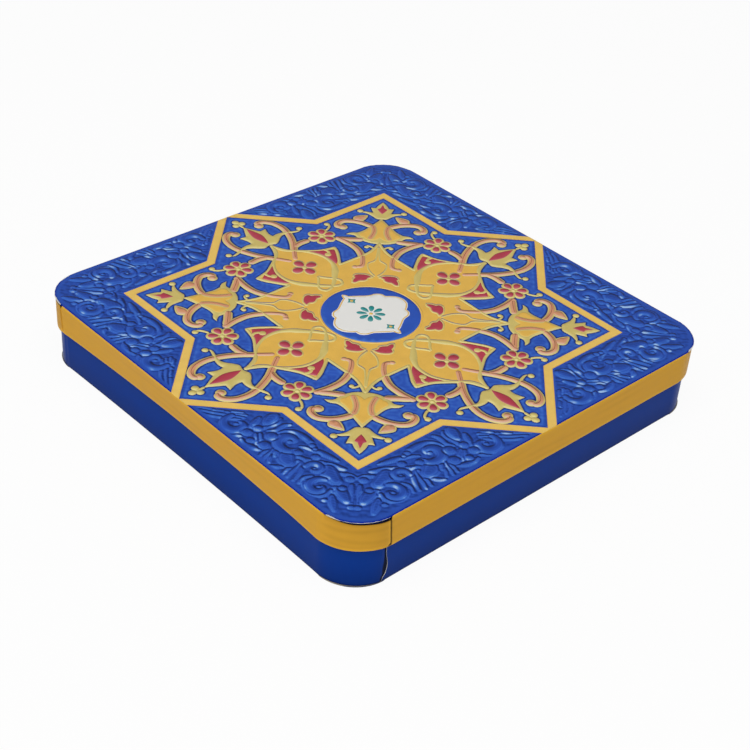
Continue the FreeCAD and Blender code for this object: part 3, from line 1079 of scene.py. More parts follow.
# The panels' edges: measures in metres, angles in degrees, and tears as strength and width
TOP_STEPS = (60, 90)
PANEL_BLEND = 0.0012
PANEL_RIM = (0.0030, 0.0018, 0.0012)
PANEL_BACK = 0.0016
ROLL_BACK = 0.0006
ROLL_DEPTH = 1.3
ROLL_ANGLES = np.radians((0, 16, 30, 42, 50))
ROLL_TUCK = np.array((1, 1, 1, 1, 0.9))
CUT_ANGLES = np.radians((0, 30, 60, 90))
CUT_TAPER = (0.00006, 0.0001)
CUT_DEPTH = 0.8
TEAR_PLACE = 0.0065
TEAR = (1, 0.0024)
NICK_PLACE = 0.005
NICK = (2.2, 0.003)
RAGGED = 0.35
RAGGED_WAVES = (0.0011, 0.0017)
CUT_BACK = 0.0001
TORN_BACK = 0.0007
CUT_FROM = 0.4


class GiftBoxLidCard(bpy.types.Operator):
    """Make the lid's printed top card: rolled over at its straight edges, cut square at its corners"""
    bl_idname = "gift_box.lid_card"
    bl_label = "Lid Card"

    def execute(self, context):
        sizes = context.scene.gift_box_sizes
        half, corner, fold, edge = LID_HALF, sizes.top_corner, sizes.fold, sizes.cut_fold
        s, arc, arc_length = panel_path(half, corner, *TOP_STEPS)
        into_cut = np.minimum(arc - sizes.slit, arc_length - sizes.slit_end - arc)
        cut = smooth_step(into_cut / PANEL_BLEND + 0.5)[:, None]
        ragged = 0.5 + 0.5 * np.sin(arc / RAGGED_WAVES[0]) * np.sin(arc / RAGGED_WAVES[1] + 1)
        left_corner = np.repeat(np.arange(4), len(s) // 4) == SIDES.index("left")
        nick = left_corner * bell(arc_length - arc - NICK_PLACE, *NICK)
        torn = (bell(arc - TEAR_PLACE, *TEAR) + RAGGED * ragged + nick)[:, None]
        rolled_in = (*PANEL_RIM, *(fold * (1 - ROLL_TUCK * np.sin(ROLL_ANGLES))), ROLL_BACK, PANEL_BACK)
        under = -COVER * ROLL_DEPTH
        rolled_up = (0, 0, 0, *(fold * (ROLL_TUCK * np.cos(ROLL_ANGLES) - 1)), under, under)
        cut_in = (*PANEL_RIM, *(edge * (1 - np.sin(CUT_ANGLES))), *CUT_TAPER, PANEL_BACK)
        cut_up = (0, 0, 0, *(edge * (np.cos(CUT_ANGLES) - 1)), -COVER * CUT_DEPTH, -COVER, -COVER)
        printed = np.arange(len(cut_in)) < len(PANEL_RIM) + len(CUT_ANGLES)
        cut_in = cut_in + (CUT_BACK + TORN_BACK * torn) * printed
        inset = np.array(rolled_in) * (1 - cut) + cut_in * cut
        height = LID_TOP + np.array(rolled_up) * (1 - cut) + np.array(cut_up) * cut
        points, quads, tris = card_panel(half, corner, s, inset, height)
        row, col = np.divmod(np.arange(len(quads)), inset.shape[1] - 1)
        white = (col >= printed.sum() - 1) & (cut[row, 0] > CUT_FROM)
        bare = np.concatenate((white, np.zeros(len(s), bool), np.ones(len(s), bool)))
        make_piece("lid_top_card", (points, quads, tris), "lid", ("lid_top_panel",),
                   ("blue_edge", "card_core"), bare, np.full(len(points), 0.5))
        return {"FINISHED"}


# The corner fields: grid in units, tones of painted shade, light and glints, and where the carving begins,
# as start and width
FIELD_PITCH = 0.34
FIELD_MARGIN = 2
PRINT_MARGIN = 0.5
FIELD_TONE = 0.48
HOLLOW_SHADE_TONE = 0.38
RAISED_LIGHT_TONE = 0.1
STEP_TOP = 0.4
FIELD_EDGE_SHADE = (0.16, 0.8)
LIT_FROM = 0.15
GLINT_TONE = 0.5
SHADE_TONE = 0.6
SLOPE_GAIN = 2.6
ENGRAVED = 0.06
ENGRAVED_WAVES = 24
PAST_EDGE = 3
CARVED_FROM_EDGE = (1.9, 1.8)
CARVED_FROM_STAR = (0, 1.4)
RAISED_FROM_EDGE = (0.6, 0.5)
RAISED_FROM_STAR = (-1.2, 0.6)
FIELD_LIFT = 0.04
FIELD_SINK = 0.02


class GiftBoxLidFields(bpy.types.Operator):
    """Make the four corner fields of carved scrolls, with painted light and shade on their slopes and
    painted shade in their hollows
    """
    bl_idname = "gift_box.lid_fields"
    bl_label = "Corner Fields"

    def execute(self, context):
        ornament = context.scene.gift_box_ornament
        x, y = square_grid(0, UNITS_TO_EDGE + PAST_EDGE, FIELD_PITCH)
        level = star_level(np.stack((x, y), -1)) - ornament.star_outer
        field = level > -FIELD_MARGIN
        height = np.zeros(x.shape)
        height[field] = carved_height(x[field], y[field])
        height = blurred(height, 1)
        slope_x, slope_y = np.gradient(height, FIELD_PITCH)
        engraved = ENGRAVED * np.sin(ENGRAVED_WAVES * blurred(height, 2))
        glints = np.sin(0.33 * x + 1.5 * np.sin(0.21 * y)) ** 4
        glints = glints * np.sin(0.28 * y + 1.1 * np.sin(0.3 * x)) ** 2
        for turn, name in enumerate(CORNERS):
            flat = turned(np.column_stack((x.ravel(), y.ravel())), turn * QUARTER)
            inside = lid_inset(flat + np.array(ornament.shift)).reshape(x.shape)
            light = turned(PAINTED_LIGHT_WAY[None], -turn * QUARTER)[0]
            # Painted light and shade: slopes facing the fixed light are painted lighter, with painted
            # glints in places, slopes facing away darker, and hollows darker than raised forms
            facing = -(slope_x * light[0] + slope_y * light[1])
            gain = np.where(facing > 0, LIT_FROM + GLINT_TONE * glints, SHADE_TONE)
            lit = gain * np.tanh(SLOPE_GAIN * facing)
            shade = HOLLOW_SHADE_TONE + RAISED_LIGHT_TONE * smooth_step(height / STEP_TOP) + lit + engraved
            fade = eased(inside, *CARVED_FROM_EDGE) * eased(level, *CARVED_FROM_STAR)
            edge = eased(inside, *RAISED_FROM_EDGE) * eased(level, *RAISED_FROM_STAR)
            rise = FIELD_LIFT * edge - FIELD_SINK + fade * ornament.field_rise * height
            shade = FIELD_TONE + (shade - FIELD_TONE) * fade
            shade = shade - fading(np.maximum(inside - PRINT_MARGIN, 0), *FIELD_EDGE_SHADE)
            quads, used = masked_grid(field & (inside > PRINT_MARGIN))
            points = np.column_stack((flat, rise.ravel()))[used]
            parts = (on_lid(points), quads, NO_TRIS)
            make_printed("lid_field_" + name, parts, "blue_print", shade.ravel()[used])
        return {"FINISHED"}


class GiftBoxStarBorder(bpy.types.Operator):
    """Make the star's gold border, which runs over the lid's folds at four of its points"""
    bl_idname = "gift_box.star_border"
    bl_label = "Star Border"

    def execute(self, context):
        ornament = context.scene.gift_box_ornament
        fold = context.scene.gift_box_sizes.fold / UNIT
        point = np.arange(16)
        reach = np.where(point % 2 == 0, math.sqrt(2), math.hypot(1, math.sqrt(2) - 1))
        star = np.column_stack((reach * np.sin(point * QUARTER / 4), reach * np.cos(point * QUARTER / 4)))
        ends = np.vstack((star, star[:1]))
        step = np.linspace(0, 1, BORDER_STEPS, endpoint=False)[:, None]
        line = np.vstack([a + (b - a) * step for a, b in zip(ends, ends[1:])])
        level = np.linspace(*BORDER_ACROSS[3:5], BORDER_ROWS)
        across = np.concatenate((BORDER_ACROSS[:3], level, BORDER_ACROSS[5:]))
        half = ornament.star_inner + (ornament.star_outer - ornament.star_inner) * across
        flat = line[:, None] * half[:, None] + np.array(ornament.shift)
        height = np.broadcast_to(np.interp(across, BORDER_ACROSS, BORDER_LIFT), flat.shape[:2])
        points = self.folded(flat, height, fold).reshape(-1, 3) * UNIT + (0, 0, LID_TOP)
        tone = np.tile(np.interp(across, BORDER_ACROSS, BORDER_TONE), len(line))
        quads = grid_quads(*height.shape, ring=True, tube=True)
        make_printed("lid_star_border", (points, quads, NO_TRIS), "gold_print", tone)
        return {"FINISHED"}

    @staticmethod
    def folded(flat, height, fold):
        """Places on the lid, bent down over its straight edges: past the fold's start, the way out turns
        into an angle round the fold. What would run on over the sides sinks into the fold instead."""
        way = np.abs(flat) - (UNITS_TO_EDGE - fold)
        over = np.maximum(way.max(-1), 0)
        angle = np.minimum(over / fold, BORDER_TURN)
        sunk = BORDER_SINK * (1 - np.exp(-np.maximum(over / fold - BORDER_TURN, 0)))
        lift = np.where(over > 0, np.minimum(height, BORDER_LOW), height) - sunk
        out = UNITS_TO_EDGE - fold + (fold + lift) * np.sin(angle)
        folded = np.where((way == way.max(-1, keepdims=True)) & (over[..., None] > 0),
                          np.sign(flat) * out[..., None], flat)
        up = np.where(over > 0, (fold + lift) * np.cos(angle) - fold, lift)
        return np.concatenate((folded, up[..., None]), -1)


def put_knot(relief, length, width, rise, base):
    """The four drops about the middle of the knot in each petal."""
    for turn in range(4):
        way = np.array((math.cos(turn * QUARTER), math.sin(turn * QUARTER)))
        middle = np.array(KNOT_MIDDLE) + KNOT_REACH * way
        relief.put(drop(middle, turn * QUARTER, length, width, rise, base, KNOT_TAPER))


class GiftBoxFlower(bpy.types.Operator):
    """Make the gold flower in the middle: its body, pale lines, knots and red leaves"""
    bl_idname = "gift_box.flower"
    bl_label = "Middle Flower"

    def execute(self, context):
        body, lines, red, shadows = (Relief() for _ in range(4))
        outline, leaf = eightfold(BODY_EDGE), closed_outline(RING_LEAF)
        strand, vein = spline(PETAL_STRAND), spline(CORNER_VEIN)
        strand_half = np.interp(np.linspace(0, 1, len(strand)), *STRAND_WIDTH)
        body.put(cushion(outline, 0.8, 0.2, pitch=2.2), turns=1)
        lines.put(bead(outline, 0.95, 0.5, closed=True), turns=1)
        for shape in (
                bead(strand, strand_half, 0.5),
                bead(vein, 0.65, 0.38),
                bead(spline(CORNER_HOOK), 0.65, 0.42),
                bead(leaf, 0.75, 0.42, closed=True),
                bead(spline(SHOULDER_HOOK), 0.9, 0.58, base=0.3),
                round_drop((18.4, 55.8), 1.9, 0.62, base=0.3),
                round_drop((40.6, 49.9), 1.35, 0.45)):
            lines.put(shape, mirrored=True)
        put_knot(lines, 3.8, 3.3, 0.42, 0.1)
        lines.put(round_drop(KNOT_MIDDLE, 1.5, 0.62))
        red.put(cushion(closed_outline(SHOULDER_LEAF), 0.8, 0.4, base=0.16), mirrored=True)
        red.put(cushion(leaf, 0.9, 0.4, base=0.16), mirrored=True)
        put_knot(red, 3.0, 2.4, 0.6, 0.3)
        for shape in (
                bead(strand, strand_half, 0.3),
                bead(vein, 0.65, 0.28),
                bead(leaf, 0.7, 0.3, closed=True)):
            shadows.put(shape, mirrored=True)
        put_knot(shadows, 3.8, 3.3, 0.3, 0.1)
        make_print("lid_flower_body", body, "gold_print")
        make_print("lid_flower_lines", lines, "pale_print")
        make_print("lid_flower_red", red, "red_print")
        shadow_shift = context.scene.gift_box_ornament.shadow_shift
        make_print("lid_line_shadows", shadows, "shadow_print", shadow_shift)
        return {"FINISHED"}


# The stems: their bands are wider and lower, and the thin dark lines along them, painted shade on each
# stem's side away from the light, lie to one side
BAND_MARGIN = 0.85
BAND_BELOW = 0.14
STEM_ROOT = 0.22
STEM_SHADE_LINE = 0.3
STEM_SHADE_LINE_UP = 0.02
STEM_SHADE_LINE_SHIFT = 0.7


class GiftBoxStems(bpy.types.Operator):
    """Make the salmon stems on their pale bands, each with a thin dark line of painted shade"""
    bl_idname = "gift_box.stems"
    bl_label = "Stems"

    def execute(self, context):
        bands, stems, veins = Relief(), Relief(), Relief()
        for line, half, rise, base, first in STEMS:
            path = spline(line)
            lower = rise - BAND_BELOW
            bands.put(bead(path, half + BAND_MARGIN, lower, base), first, mirrored=True)
            stems.put(bead(path, half, rise, base + STEM_ROOT), first, mirrored=True)
            # The dark line is painted shade, laid towards the side away from the light
            vein = bead(path[3:-2], STEM_SHADE_LINE, rise + STEM_SHADE_LINE_UP, lower, ribs=4)
            veins.put(vein, first, mirrored=True)
        leaf = closed_outline(STEM_LEAF)
        stems.put(cushion(leaf, 0.9, 0.42), mirrored=True)
        bands.put(bead(leaf, 0.6, 0.3, closed=True), mirrored=True)
        for middle, radius in STEM_DOTS:
            bands.put(round_drop(middle, radius + 0.5, 0.34), mirrored=True)
            stems.put(round_drop(middle, radius - 0.2, 0.52), mirrored=True)
        shade_line_shift = np.array(context.scene.gift_box_ornament.shadow_shift) * STEM_SHADE_LINE_SHIFT
        make_print("lid_stem_bands", bands, "pale_print")
        make_print("lid_stems", stems, "salmon_print")
        make_print("lid_stem_shade_lines", veins, "brown_print", shade_line_shift)
        return {"FINISHED"}


class GiftBoxRosettes(bpy.types.Operator):
    """Make the eight red rosettes with their pale rims and tendrils"""
    bl_idname = "gift_box.rosettes"
    bl_label = "Rosettes"

    def execute(self, context):
        rims, petals = Relief(), Relief()
        middle = np.array(ROSETTE_MIDDLE)
        for degrees in range(ROSETTE_START, ROSETTE_START + 360, 60):
            heading = math.radians(degrees)
            way = np.array((math.cos(heading), math.sin(heading)))
            rim = drop(middle + 4.6 * way, heading, 3.7, 3.1, 0.4, taper=0.2)
            petal = drop(middle + 4.5 * way, heading, 2.5, 1.75, 0.6, base=0.3, taper=0.25)
            rims.put(rim, mirrored=True)
            petals.put(petal, mirrored=True)
        rims.put(round_drop(middle, 1.4, 0.66), mirrored=True)
        rims.put(bead(spline(ROSETTE_TENDRIL), 0.75, 0.4), mirrored=True)
        rims.put(round_drop((39.2, 81), 1.7, 0.45), mirrored=True)
        make_print("lid_rosette_rims", rims, "pale_print")
        make_print("lid_rosette_petals", petals, "red_print")
        return {"FINISHED"}


class GiftBoxLotuses(bpy.types.Operator):
    """Make the lotuses and tulips at the star's points"""
    bl_idname = "gift_box.lotuses"
    bl_label = "Lotuses and Tulips"

    def execute(self, context):
        pale, gold, red = Relief(), Relief(), Relief()
        pale.put(cushion(two_sided(EDGE_LOTUS), 0.9, 0.5))
        pale.put(cushion(two_sided(CORNER_LOTUS), 0.8, 0.34), DIAGONAL)
        pale.put(cushion(two_sided(TULIP_EDGE), 0.8, 0.34), DIAGONAL)
        pale.put(bead(spline(((0, 104.5), (0, 109.5))), 0.8, 0.36))
        for middle, radius, first in LOTUS_DOTS:
            pale.put(round_drop(middle, radius, 0.5), first, mirrored=True)
        pale.put(drop((0, 111.6), QUARTER, 2.2, 2.0, 0.46))
        gold.put(cushion(two_sided(TULIP_FILL), 0.6, 0.46, base=0.3), DIAGONAL)
        red.put(cushion(two_sided(EDGE_ALMOND), 1.2, 0.62, base=0.46))
        red.put(cushion(two_sided(CORNER_KITE), 0.9, 0.48, base=0.3), DIAGONAL)
        make_print("lid_lotuses", pale, "pale_print")
        make_print("lid_tulip_fills", gold, "gold_print")
        make_print("lid_lotus_hearts", red, "red_print")
        return {"FINISHED"}


class GiftBoxRoundel(bpy.types.Operator):
    """Make the blue disc in the middle, its ring, and a plain lobed roundel with a rosette"""
    bl_idname = "gift_box.roundel"
    bl_label = "Middle Roundel"

    def execute(self, context):
        radius = context.scene.gift_box_ornament.disc
        off = context.scene.gift_box_ornament.disc_shift
        turn = np.linspace(0, 2 * math.pi, DISC_STEPS, endpoint=False)
        circle = np.column_stack((np.cos(turn), np.sin(turn)))
        outline = four_sided(MEDALLION)
        disc, ring, plate, lines, leaves = (Relief() for _ in range(5))
        disc.put(cushion(circle * (radius + 0.3), 0.5, 0.24, pitch=3), turns=1)
        ring.put(bead(circle * (radius + 0.6), 0.75, 0.42, closed=True), turns=1)
        plate.put(cushion(outline, 0.6, 0.4, pitch=2.5), turns=1)
        lines.put(bead(outline * 0.95, 0.4, 0.46, base=0.3, closed=True), turns=1)
        lines.put(round_drop((0, 0), 1.5, 0.6), turns=1)
        for across in (-LOZENGE_REACH, LOZENGE_REACH):
            leaves.put(cushion(four_sided(LOZENGE) + (across, 0), 0.5, 0.5, base=0.3), turns=1)
            lines.put(round_drop((across, 0), 1.2, 0.6, base=0.3), turns=1)
        for heading in (QUARTER, 1.5 * QUARTER):
            way = np.array((math.cos(heading), math.sin(heading)))
            leaves.put(drop(4.6 * way, heading, 2.9, 1.45, 0.58, base=0.3, taper=0.3))
        make_print("lid_centre_disc", disc, "blue_print", off)
        make_print("lid_centre_ring", ring, "gold_print", off)
        make_print("lid_roundel", plate, "ivory_print", off)
        make_print("lid_roundel_lines", lines, "gold_print", off)
        make_print("lid_roundel_rosette", leaves, "turquoise_print", off)
        return {"FINISHED"}


# The star's ground: grid in units, and tones as strength and width: painted shade beside the ornament, a
# painted glow beyond it, and mottling
GROUND_PITCH = 0.4
GROUND_TONE = 0.49
HALO_TONE = 0.4
HALO_GAIN = 2.6
GLOW_TONE = 0.42
MOTTLE_TONE = 0.06
BORDER_SHADE = (0.16, 0.8)
INNER_LINE = (0.1, 0.6)
INNER_LINE_IN = 2
HALO_BLUR = 3
GLOW_BLUR = 8
GROUND_LIFT = 0.03
GROUND_SINK = 0.012
GROUND_PAST_STAR = 1.2
GROUND_FROM_EDGE = (0.7, 0.6)


class GiftBoxStarGround(bpy.types.Operator):
    """Make the star's blue ground, with painted shade beside the raised ornament and a painted glow beyond
    it
    """
    bl_idname = "gift_box.star_ground"
    bl_label = "Star Ground"

    def execute(self, context):
        ornament = context.scene.gift_box_ornament
        pitch = GROUND_PITCH
        reach = pitch * math.ceil(UNITS_TO_EDGE / pitch)
        x, y = square_grid(-reach, reach + pitch / 2, pitch)
        bins = np.append(x[:, 0] - pitch / 2, x[-1, 0] + pitch / 2)
        shift = np.array(ornament.shift)
        inked = np.zeros(x.shape)
        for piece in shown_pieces():
            if piece.name.startswith(("lid_lotus", "lid_stem", "lid_rosette_rims", "lid_flower_lines")):
                place = np.empty(len(piece.data.vertices) * 3, np.float32)
                piece.data.vertices.foreach_get("co", place)
                flat = place.reshape(-1, 3)[:, :2] / UNIT - shift
                inked += np.histogram2d(flat[:, 0], flat[:, 1], (bins, bins))[0]
        # Painted shade beside the raised ornament, and a painted glow of light beyond it
        shade_halo = np.minimum(1, HALO_GAIN * blurred((inked > 0).astype(float), HALO_BLUR))
        level = star_level(np.stack((x, y), -1)) - ornament.star_inner
        mottle = np.sin(0.9 * x + 2 * np.sin(0.7 * y)) * np.sin(0.8 * y + 2 * np.sin(0.6 * x))
        beyond = GLOW_TONE * blurred(shade_halo, GLOW_BLUR) + MOTTLE_TONE * mottle
        shade = GROUND_TONE - HALO_TONE * shade_halo + beyond * (1 - shade_halo)
        shade = shade - fading(np.abs(level), *BORDER_SHADE) + bell(level + INNER_LINE_IN, *INNER_LINE)
        inside = lid_inset(np.stack((x, y), -1) + shift)
        rise = GROUND_LIFT * smooth_step(GROUND_PAST_STAR - level)
        rise = rise * eased(inside, *GROUND_FROM_EDGE) - GROUND_SINK
        points = np.column_stack((x.ravel(), y.ravel(), rise.ravel()))
        for turn, name in enumerate(CORNERS):
            way = turned(np.array(((1.0, 1.0),)), turn * QUARTER)[0]
            quarter = (x * way[0] > -pitch / 2) & (y * way[1] > -pitch / 2)
            quads, used = masked_grid((level < FIELD_MARGIN) & (inside > PRINT_MARGIN) & quarter)
            parts = (on_lid(points[used]), quads, NO_TRIS)
            make_printed("lid_star_ground_" + name, parts, "blue_print", shade.ravel()[used])
        return {"FINISHED"}


# The lid's sides: steps, measures in metres, and painted highlight and shade lines as strength and width
LID_SIDE_STEPS = (24, 60, 24, 30, 50)
LID_WALL_ROWS = 24
LID_LEG_ROWS = 5
LID_RIPPLES = (0.0095, 0.023)
LID_RIPPLE_SLANT = 40
CORNER_EASE = 0.003
TAB_TIP = 0.008
TAB_END = 0.012
TAB_LEAN = 0.01
SLIT_BLEND = 0.001
LEAST_GAP = 0.00012
GAP_GROWTH = 0.4
LAP_GAP = 0.0002
FOLD_ANGLES = np.radians((45, 57, 68, 79, 90))
CUT_DROPS = np.array((0, 0.00003, 0.00007, 0.00012, 0.0002))
HEM_ANGLES = np.radians(np.linspace(0, 90, 5))
BAND_TONE = 0.51
STREAK = 0.03
HEM_SHINE = (0.36, 0.0010)
FOLD_SHINE = (0.33, 0.0012)
CUT_SHADE = (0.6, 0.0001)
TAB_SHADE = 0.05
TAB_END_HIGHLIGHT = (0.25, 0.0005)
LID_SEAM_SHADOW = (0.6, 0.0003)
LID_SEAM_SHADOW_IN = 0.0007


class GiftBoxLidSides(bpy.types.Operator):
    """Make the lid's four gold sides: folded down from the top, tabs round the corners, hems turned in"""
    bl_idname = "gift_box.lid_sides"
    bl_label = "Lid Sides"

    def execute(self, context):
        sizes = context.scene.gift_box_sizes
        half, corner, fold = LID_HALF, sizes.band_corner, sizes.fold
        hem, curl = sizes.hem, sizes.hem_round
        straight, arc = half - corner, QUARTER * corner
        end = straight + arc - sizes.lid_tab_gap
        start = -straight - sizes.lid_tab_gap - sizes.lid_lap
        knots = (start, CORNER_EASE - straight, straight - CORNER_EASE, straight + CORNER_EASE,
                 end - TAB_TIP, end)
        s = np.append(spaced(knots, LID_SIDE_STEPS), end)[:, None]
        past, before = s - straight, -straight - s
        cut = np.maximum(smooth_step((past - sizes.slit) / SLIT_BLEND + 0.5),
                         smooth_step((before - sizes.slit_end) / SLIT_BLEND + 0.5))
        gap = LEAST_GAP + (sizes.gap_open - LEAST_GAP) * smooth_step((past - sizes.slit) / arc / GAP_GROWTH)
        top = LID_TOP - COVER - np.where(before > 0, sizes.gap_open + LAP_GAP, gap)
        low = LID_LOW + np.maximum(0, sizes.clip - (end - s))
        fold_up = (LID_TOP - fold * (1 - np.cos(FOLD_ANGLES))) * (1 - cut) + (top - CUT_DROPS) * cut
        wall = np.linspace(0, 1, LID_WALL_ROWS)[1:-1]
        wall_up = fold_up[:, -1:] + (low + curl - fold_up[:, -1:]) * wall
        leg = np.linspace(0, 1, LID_LEG_ROWS)[1:]
        leg_up = low + curl + (LID_LOW + sizes.lid_turn_in - low - curl) * leg
        turn_in, turn_up = curl * (1 - np.cos(HEM_ANGLES)), curl * (1 - np.sin(HEM_ANGLES))
        zero = 0 * s
        out = np.hstack((-fold * (1 - np.sin(FOLD_ANGLES)) * (1 - cut), zero + 0 * wall, zero - turn_in,
                         zero - hem + turn_up, zero - hem + 0 * leg))
        up = np.hstack((fold_up, wall_up, low + turn_up, low + turn_in, leg_up))
        outer = np.concatenate((np.ones(len(FOLD_ANGLES) + len(wall)),
                                np.linspace(1, 0, 2 * len(HEM_ANGLES)), 0 * leg))
        lift = sizes.lap_lift * smooth_step((s - end + TAB_END) / TAB_TIP)
        wave = sizes.ripple * np.sin(s / LID_RIPPLES[0] + LID_RIPPLE_SLANT * (up - LID_LOW))
        wave = wave * np.sin(s / LID_RIPPLES[1] + 1)
        out = out + outer * (lift + wave * (1 - cut))
        below = fold_up[:, :1] - up
        # Painted highlights along the hem and the fold, painted shade under the top's cut edge and over the
        # corner arcs; the streaks are the card's own tone
        streak = np.sin(s / 0.017 + 2 * np.sin(up / 0.0021)) * np.sin(up / 0.0012 + s / 0.05)
        shade = BAND_TONE + STREAK * streak + bell(up - low, *HEM_SHINE)
        shade = shade + bell(below, *FOLD_SHINE) * (1 - cut)
        shade = shade - cut * fading(below, *CUT_SHADE) - TAB_SHADE * smooth_step(past / TAB_LEAN)
        lean = sizes.slant * (up - LID_LOW) / (LID_TOP - LID_LOW)
        under = -straight - sizes.lid_tab_gap - lean
        # A painted highlight along each tab's end, and a painted shadow that the tab's end casts on the
        # next side; the left corner's seam gets neither
        tab_highlight = outer * fading(end - s, *TAB_END_HIGHLIGHT)
        seam_shadow = outer * fading(np.maximum(s - under - LID_SEAM_SHADOW_IN, 0), *LID_SEAM_SHADOW)
        shut = (gap - LEAST_GAP) * cut * (past > 0) * np.clip((up - low) / (top - low), 0, 1) * outer
        profile = out.shape[1]
        last_cap = slice(1 - profile, None)
        top_edges = slice(2 * profile - 1, (len(s) - 1) * 2 * profile, 2 * profile)
        for side, name in enumerate(SIDES):
            path = s + side * (2 * straight + arc) - lean * smooth_step((s - end + TAB_END) / TAB_LEAN)
            hang = sizes.right_drop * lid_bow(up) * (name == "right")
            tone = shade + tab_highlight * (name != "left") - seam_shadow * (name != "front")
            height = up - hang + shut * (name == "left")
            points, quads, bare = folded_card(path, half, corner, out, height, COVER)
            bare[top_edges] = False
            bare[last_cap] = name != "left"
            make_piece("lid_side_" + name, (bowed(points, lid_bow), quads, NO_TRIS), "lid",
                       ("lid_flap_" + name,), ("band_card", "card_core"), bare,
                       both_faces(tone, tone).ravel())
        return {"FINISHED"}


# The tray's sides: heights in millimetres, measures in metres, and painted shade and highlight lines as
# strength and width
SEAM_BACK = 0.0016
SEAM_BULGE = (0.0012, 5)
SEAM_BULGE_UP = 9
SEAM_FOOT = 0.0014
FOOT_HEIGHT = (1, 4)
SEAM_LAP = 0.0025
TRAY_KNOTS = (0, 0.07, 0.78, 0.93, 1)
TRAY_STEPS = (40, 60, 24, 59)
TRAY_LEG_ROWS = 6
TRAY_WALL_KNOTS = (0, 0.45, 1)
TRAY_WALL_ROWS = (6, 29)
TRAY_RIPPLES = (0.012, 0.027)
TRAY_RIPPLE_SLANT = 55
TRAY_EDGE_RISE = 0.0006
CURL_REACH = 0.005
CURL_FROM = 0.6
CURL_OVER = 20
CURL_POWER = 0.7
LAP_ROOM = 0.00004
LAP_START = 0.0045
SEAM_WIDTH = 0.0009
SEAM_OPENING = (0.0014, 4.5)
SEAM_OPENING_UP = 8
SEAM_SHADOW_TONE = 0.5
SEAM_BLEND = 0.0005
FOOT_TONE = 0.1
FOOT_FADE = 15
FOOT_SHADOW = (0.4, 0.0006)
SEAM_GLINT = (0.05, 0.0004)


class GiftBoxTraySides(bpy.types.Operator):
    """Make the tray's four blue sides: folded up from the bottom, turned in over the walls, seams
    lifted"""
    bl_idname = "gift_box.tray_sides"
    bl_label = "Tray Sides"

    def execute(self, context):
        sizes = context.scene.gift_box_sizes
        half, corner, fold = TRAY_HALF, sizes.tray_corner, sizes.fold
        hem, curl = sizes.tray_hem, sizes.hem_round
        straight, arc = half - corner, QUARTER * corner
        bend = FOLD_ANGLES[::-1]
        leg = np.linspace(0, 1, TRAY_LEG_ROWS)[:-1]
        leg_up = TRAY_TOP - sizes.tray_turn_in + (sizes.tray_turn_in - curl) * leg
        wall = spaced(TRAY_WALL_KNOTS, TRAY_WALL_ROWS)[1:]
        wall_up = TRAY_TOP - curl + (fold - TRAY_TOP + curl) * wall
        turn_in, turn_up = curl * (1 - np.cos(HEM_ANGLES)), curl * (1 - np.sin(HEM_ANGLES))
        up = np.concatenate((leg_up, TRAY_TOP - turn_up, TRAY_TOP - turn_in, wall_up,
                             fold * (1 - np.cos(bend))))
        out = np.concatenate((0 * leg - hem, turn_in - hem, -turn_up, 0 * wall, -fold * (1 - np.sin(bend))))
        outer = np.concatenate((0 * leg, np.linspace(0, 1, 2 * len(HEM_ANGLES)),
                                np.ones(len(wall) + len(bend))))
        z = up * 1000
        seam = bell(z - SEAM_BULGE_UP, *SEAM_BULGE) - SEAM_BACK - SEAM_FOOT * (1 - eased(z, *FOOT_HEIGHT))
        first, last = -straight + seam * outer, straight + arc + SEAM_LAP
        s = first + (last - first) * np.append(spaced(TRAY_KNOTS, TRAY_STEPS), 1)[:, None]
        past = s - straight
        cut = smooth_step(past / SLIT_BLEND + 0.5)
        above = np.zeros(len(up) - len(bend))
        bottom = np.concatenate((above, np.ones(len(bend))))
        edge_up = COVER + CUT_BACK + np.linspace(TRAY_EDGE_RISE, 0, len(bend))
        up = up + cut * bottom * (np.concatenate((above, edge_up)) - up)
        out = out * (1 - cut * bottom)
        along_seam = np.clip((z - CURL_FROM) / CURL_OVER, 0, 1)
        curl_out = sizes.seam_lift * np.sin(along_seam * math.pi) ** CURL_POWER
        out = out + outer * fading(s - first, curl_out, CURL_REACH)
        out = out - outer * (COVER - LAP_ROOM) * smooth_step((past - arc + LAP_START) / SEAM_LAP)
        wave = outer * sizes.ripple * np.sin(s / TRAY_RIPPLES[0] + TRAY_RIPPLE_SLANT * up)
        out = out + wave * np.sin(s / TRAY_RIPPLES[1]) * (1 - cut)
        # A painted shadow in the seam's gap, on the end of each side that runs under the next; the left
        # corner gets none
        gap = arc + seam - SEAM_WIDTH - bell(z - SEAM_OPENING_UP, *SEAM_OPENING)
        seam_shadow = SEAM_SHADOW_TONE * outer * smooth_step((past - gap) / SEAM_BLEND + 0.5)
        # Darker towards the bottom, a painted shadow line along the foot, and a painted glint along the
        # lifted edge of each side's start
        shade = 0.5 - FOOT_TONE * outer * (1 - smooth_step(z / FOOT_FADE))
        shade = shade - outer * fading(up, *FOOT_SHADOW) + outer * fading(s - first, *SEAM_GLINT)
        profile = out.shape[1]
        first_cap = slice(2 - 2 * profile, 1 - profile)
        for side, name in enumerate(SIDES):
            tone = shade - seam_shadow * (name != "left")
            points, quads, bare = folded_card(s + side * (2 * straight + arc), half, corner, out, up, COVER)
            bare[first_cap] = name != "front"
            make_piece("tray_side_" + name, (bowed(points, tray_bow), quads, NO_TRIS), "base",
                       ("base_flap_" + name,), ("tray_card", "card_core"), bare,
                       both_faces(tone, tone).ravel())
        return {"FINISHED"}


